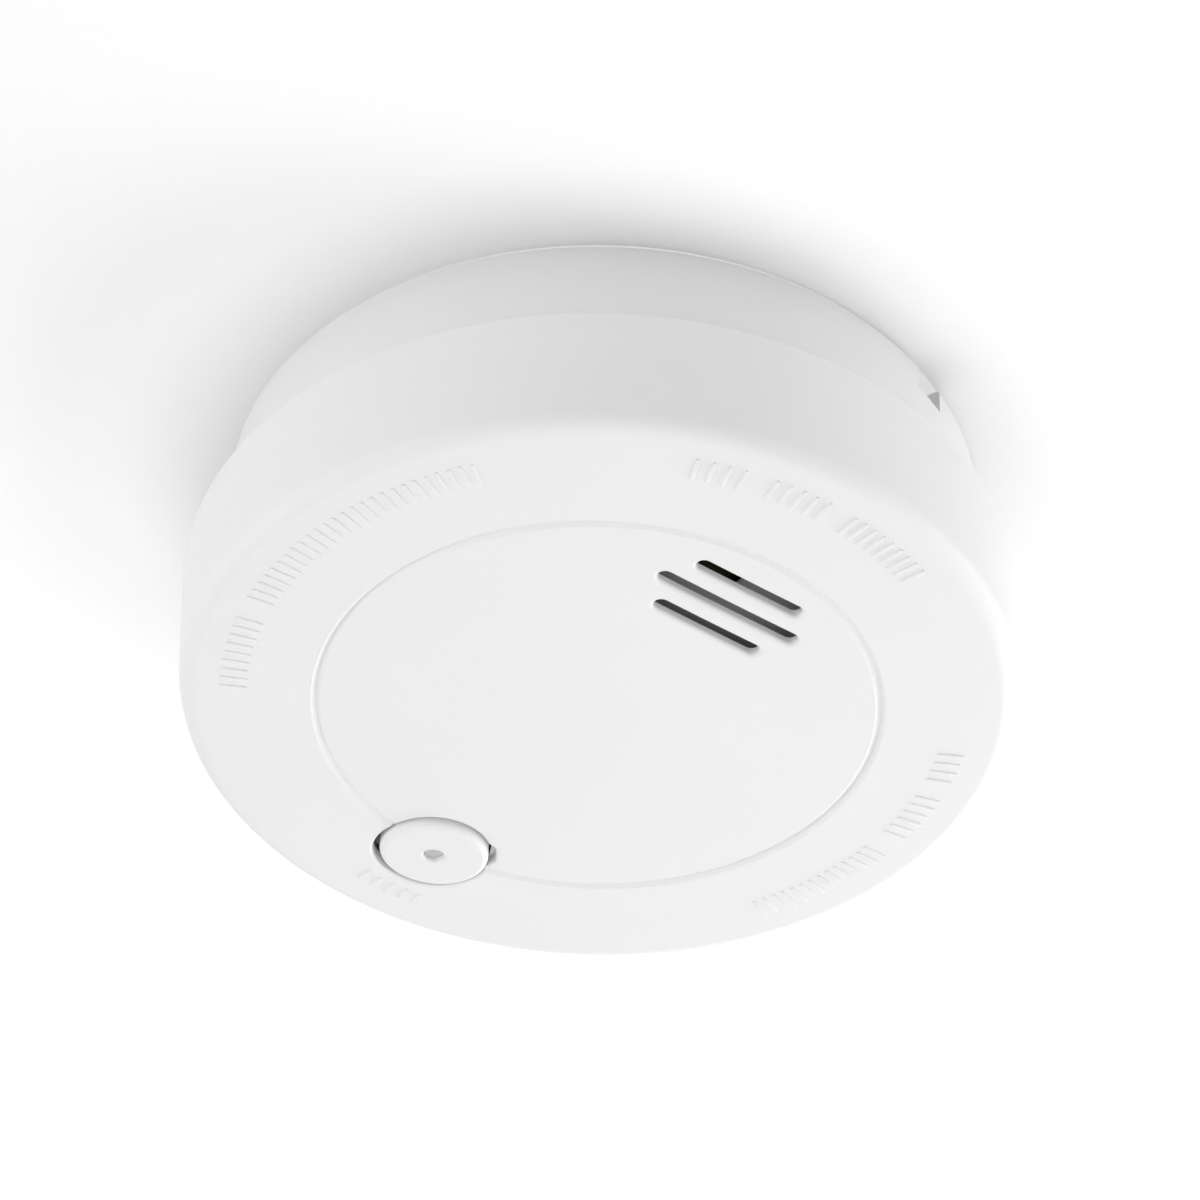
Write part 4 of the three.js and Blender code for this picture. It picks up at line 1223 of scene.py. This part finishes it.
def make_chamber():
    low, high = box_mm("chamber_base")
    eye_z = centre_mm("ir_emitter").z
    radius = CHAMBER_RADIUS
    floor = [(0, low.z), (radius, low.z, 0.3), (radius, CHAMBER_FLOOR, 0.3), (0, CHAMBER_FLOOR)]
    base = turned(rounded(floor), 96)
    fins = [labyrinth_fin(i, high.z) for i in range(FINS)]
    cradles = []
    for _, angle in EYE_ANGLES:
        cradle = softened(block((5.5, -3, CHAMBER_FLOOR - 0.3), (10.8, 3, eye_z)), 0.15)
        cut(cradle, rod_along_x(EYE_RADIUS + 0.3, 4, 12, 0, eye_z, 48))
        cradles.append(moved(cradle, turn=angle))
    joined(base, gathered(fins), gathered(cradles))
    moved(base, CHAMBER.x, CHAMBER.y)
    dressed(base, "labyrinth", "detector", "black_plastic", BLACK, "chamber_base")

    low, high = box_mm("chamber_cap")
    cap = [
        (0, low.z),
        (radius, low.z, 0.15),
        (radius, low.z + 0.8, 0.3),
        (radius - 1.5, high.z, 0.4),
        (9, high.z, 0.2),
        (8.6, high.z - 0.35, 0.2),
        (0, high.z - 0.35),
    ]
    lathe_piece("labyrinth_cap", "black_plastic", BLACK, ["chamber_cap"], cap, CHAMBER.x, CHAMBER.y, 96)

    for node, angle in EYE_ANGLES:
        lens = rounded(
            [
                (0, 4.4),
                (EYE_RADIUS - 0.15, 4.4, 2.2),
                (EYE_RADIUS - 0.15, 9.4, 0.05),
                (EYE_RADIUS, 9.45, 0.05),
                (EYE_RADIUS, 10.4, 0.15),
                (0, 10.4),
            ]
        )
        eye = moved(turned(lens, 64), z=eye_z, tip=(90, "Y"))
        moved(eye, CHAMBER.x, CHAMBER.y, turn=angle)
        dressed(eye, f"{node}_lens", "detector", *EYE_FINISHES[node], node)


def make_screen():
    """Bands at the foot and head of the insect screen, with a fine mesh of wires between them."""
    low, high = box_mm("insect_screen")
    outer = high.x - CHAMBER.x
    inner = outer - 0.4
    radius = outer - 0.2
    foot, head = low.z + 1.5, high.z - 0.9
    columns, rows = 120, 14
    bm = bmesh.new()
    grid = []
    for i in range(rows + 1):
        z = foot - 0.1 + (head - foot + 0.2) * i / rows
        turns = [math.tau * (k + 0.5 * (i % 2)) / columns for k in range(columns)]
        grid.append([bm.verts.new((math.cos(t) * radius, math.sin(t) * radius, z)) for t in turns])
    for i in range(rows):
        for k in range(columns):
            j = (k + 1) % columns
            bm.faces.new((grid[i][k], grid[i][j], grid[i + 1][j], grid[i + 1][k]))
    wires = mesh_object("wires", bm)
    modifier = wires.modifiers.new("wires", "WIREFRAME")
    modifier.thickness = 0.2
    apply_modifiers(wires)
    bands = []
    for z0, z1 in ((low.z, foot), (head, high.z)):
        corners = [(outer, z0, 0.1), (outer, z1, 0.1), (inner, z1, 0.1), (inner, z0, 0.1)]
        bands.append(turned(rounded(corners, closed=True), 120))
    screen = gathered([wires, *bands])
    moved(screen, CHAMBER.x, CHAMBER.y)
    dressed(screen, "insect_mesh", "detector", "steel", STEEL, "insect_screen")


# ------------------------------ battery and its contacts

SNAP_RISE = 1.9
STUD_RADIUS = 2.85
PETALS = 6
TAIL_HALF = 2
SHOULDER = -19.4
BLADE_SHEET = 0.5
TONGUE_SHEET = 0.28


def make_battery():
    low, high = box_mm("battery_case")
    middle, half = (low + high) / 2, (high - low) / 2
    outline = plate_outline(-half.x, half.x, -half.z, half.z, 2.2)

    def section(y, inset):
        wide, deep = 1 - inset / half.x, 1 - inset / half.z
        return [(middle.x + x * wide, y, middle.z + z * deep) for x, z in outline]

    rings = [
        section(low.y, 1.1),
        section(low.y, 0.5),
        section(low.y + 0.2, 0.12),
        section(low.y + 0.6, 0),
        section(high.y - 0.6, 0),
        section(high.y - 0.2, 0.12),
        section(high.y, 0.5),
        section(high.y, 1.0),
        section(high.y - 0.5, 1.1),
    ]
    case = stacked(rings)
    dressed(case, "battery_jacket", "detector", "battery_jacket", JACKET, "battery_case")
    lid = [section(high.y - 0.45, 1.2), section(high.y - 0.15, 1.2), section(high.y - 0.05, 1.4)]
    insulator = stacked(lid)
    dressed(insulator, "battery_insulator", "detector", "black_plastic", BLACK)

    stud, stud_low = centre_mm("battery_stud"), box_mm("battery_stud")[0]
    foot = stud_low.y
    profile = [
        (0, 0),
        (STUD_RADIUS, 0, 0.1),
        (STUD_RADIUS, 0.3, 0.1),
        (STUD_RADIUS - 0.35, 0.9, 0.4),
        (STUD_RADIUS, 1.6, 0.3),
        (STUD_RADIUS - 0.45, SNAP_RISE, 0.2),
        (0, SNAP_RISE),
    ]
    knob = moved(turned(rounded(profile), 48), stud.x, foot, stud.z, tip=(-90, "X"))
    dressed(knob, "battery_plus_snap", "detector", "steel", STEEL, "battery_stud")
    socket = centre_mm("battery_socket")
    cup = [
        (4.2, 0, 0.1),
        (4.2, 0.5, 0.1),
        (3.9, SNAP_RISE, 0.25),
        (STUD_RADIUS, SNAP_RISE, 0.25),
        (3.1, 0.5, 0.1),
        (0.01, 0.5),
        (0.01, 0),
    ]
    petals = turned(rounded(cup, closed=True), 72)
    gaps = [moved(block((2, -0.35, 0.7), (5, 0.35, 3)), turn=360 / PETALS * i) for i in range(PETALS)]
    cut(petals, gathered(gaps))
    moved(petals, socket.x, foot, socket.z, tip=(-90, "X"))
    dressed(petals, "battery_minus_snap", "detector", "steel", STEEL, "battery_socket")


def make_contact(node, name):
    """A blade with a tail that goes down to the board, and a bowed tongue that presses on the battery."""
    low, high = box_mm(node)
    x = centre_mm(node).x
    half = high.x - x
    blade = rounded(
        [
            (-half, SHOULDER, 0.5),
            (-TAIL_HALF, SHOULDER, 0.3),
            (-TAIL_HALF, low.z, 0.3),
            (TAIL_HALF, low.z, 0.3),
            (TAIL_HALF, SHOULDER, 0.3),
            (half, SHOULDER, 0.5),
            (half, high.z, 0.8),
            (-half, high.z, 0.8),
        ],
        closed=True,
    )
    plate = moved(prism(blade, -high.y, -(high.y - BLADE_SHEET)), tip=(90, "X"))
    bow = [
        (24.5, -10.2),
        (24.2, -11, 0.5),
        (23.65, -12.6, 1.2),
        (23.65, -16.6, 1.2),
        (24.2, -18, 0.5),
        (24.5, -18.6),
    ]
    tongue = moved(prism(ribbon(bow, TONGUE_SHEET), -1.9, 1.9), tip=(90, "X"))
    moved(tongue, turn=90)
    joined(plate, tongue)
    softened(plate, 0.06, 2, 50)
    moved(plate, x)
    dressed(plate, name, "detector", "steel", STEEL, node)


make_cover()
make_housing()
make_plate()
make_button()
make_sounder()
make_board()
make_screws()
make_capacitor("capacitor_large")
make_capacitor("capacitor_small")
make_coil()
make_chip()
make_switch()
make_led()
make_chamber()
make_screen()
make_battery()
make_contact("contact_plus", "battery_contact_plus")
make_contact("contact_minus", "battery_contact_minus")
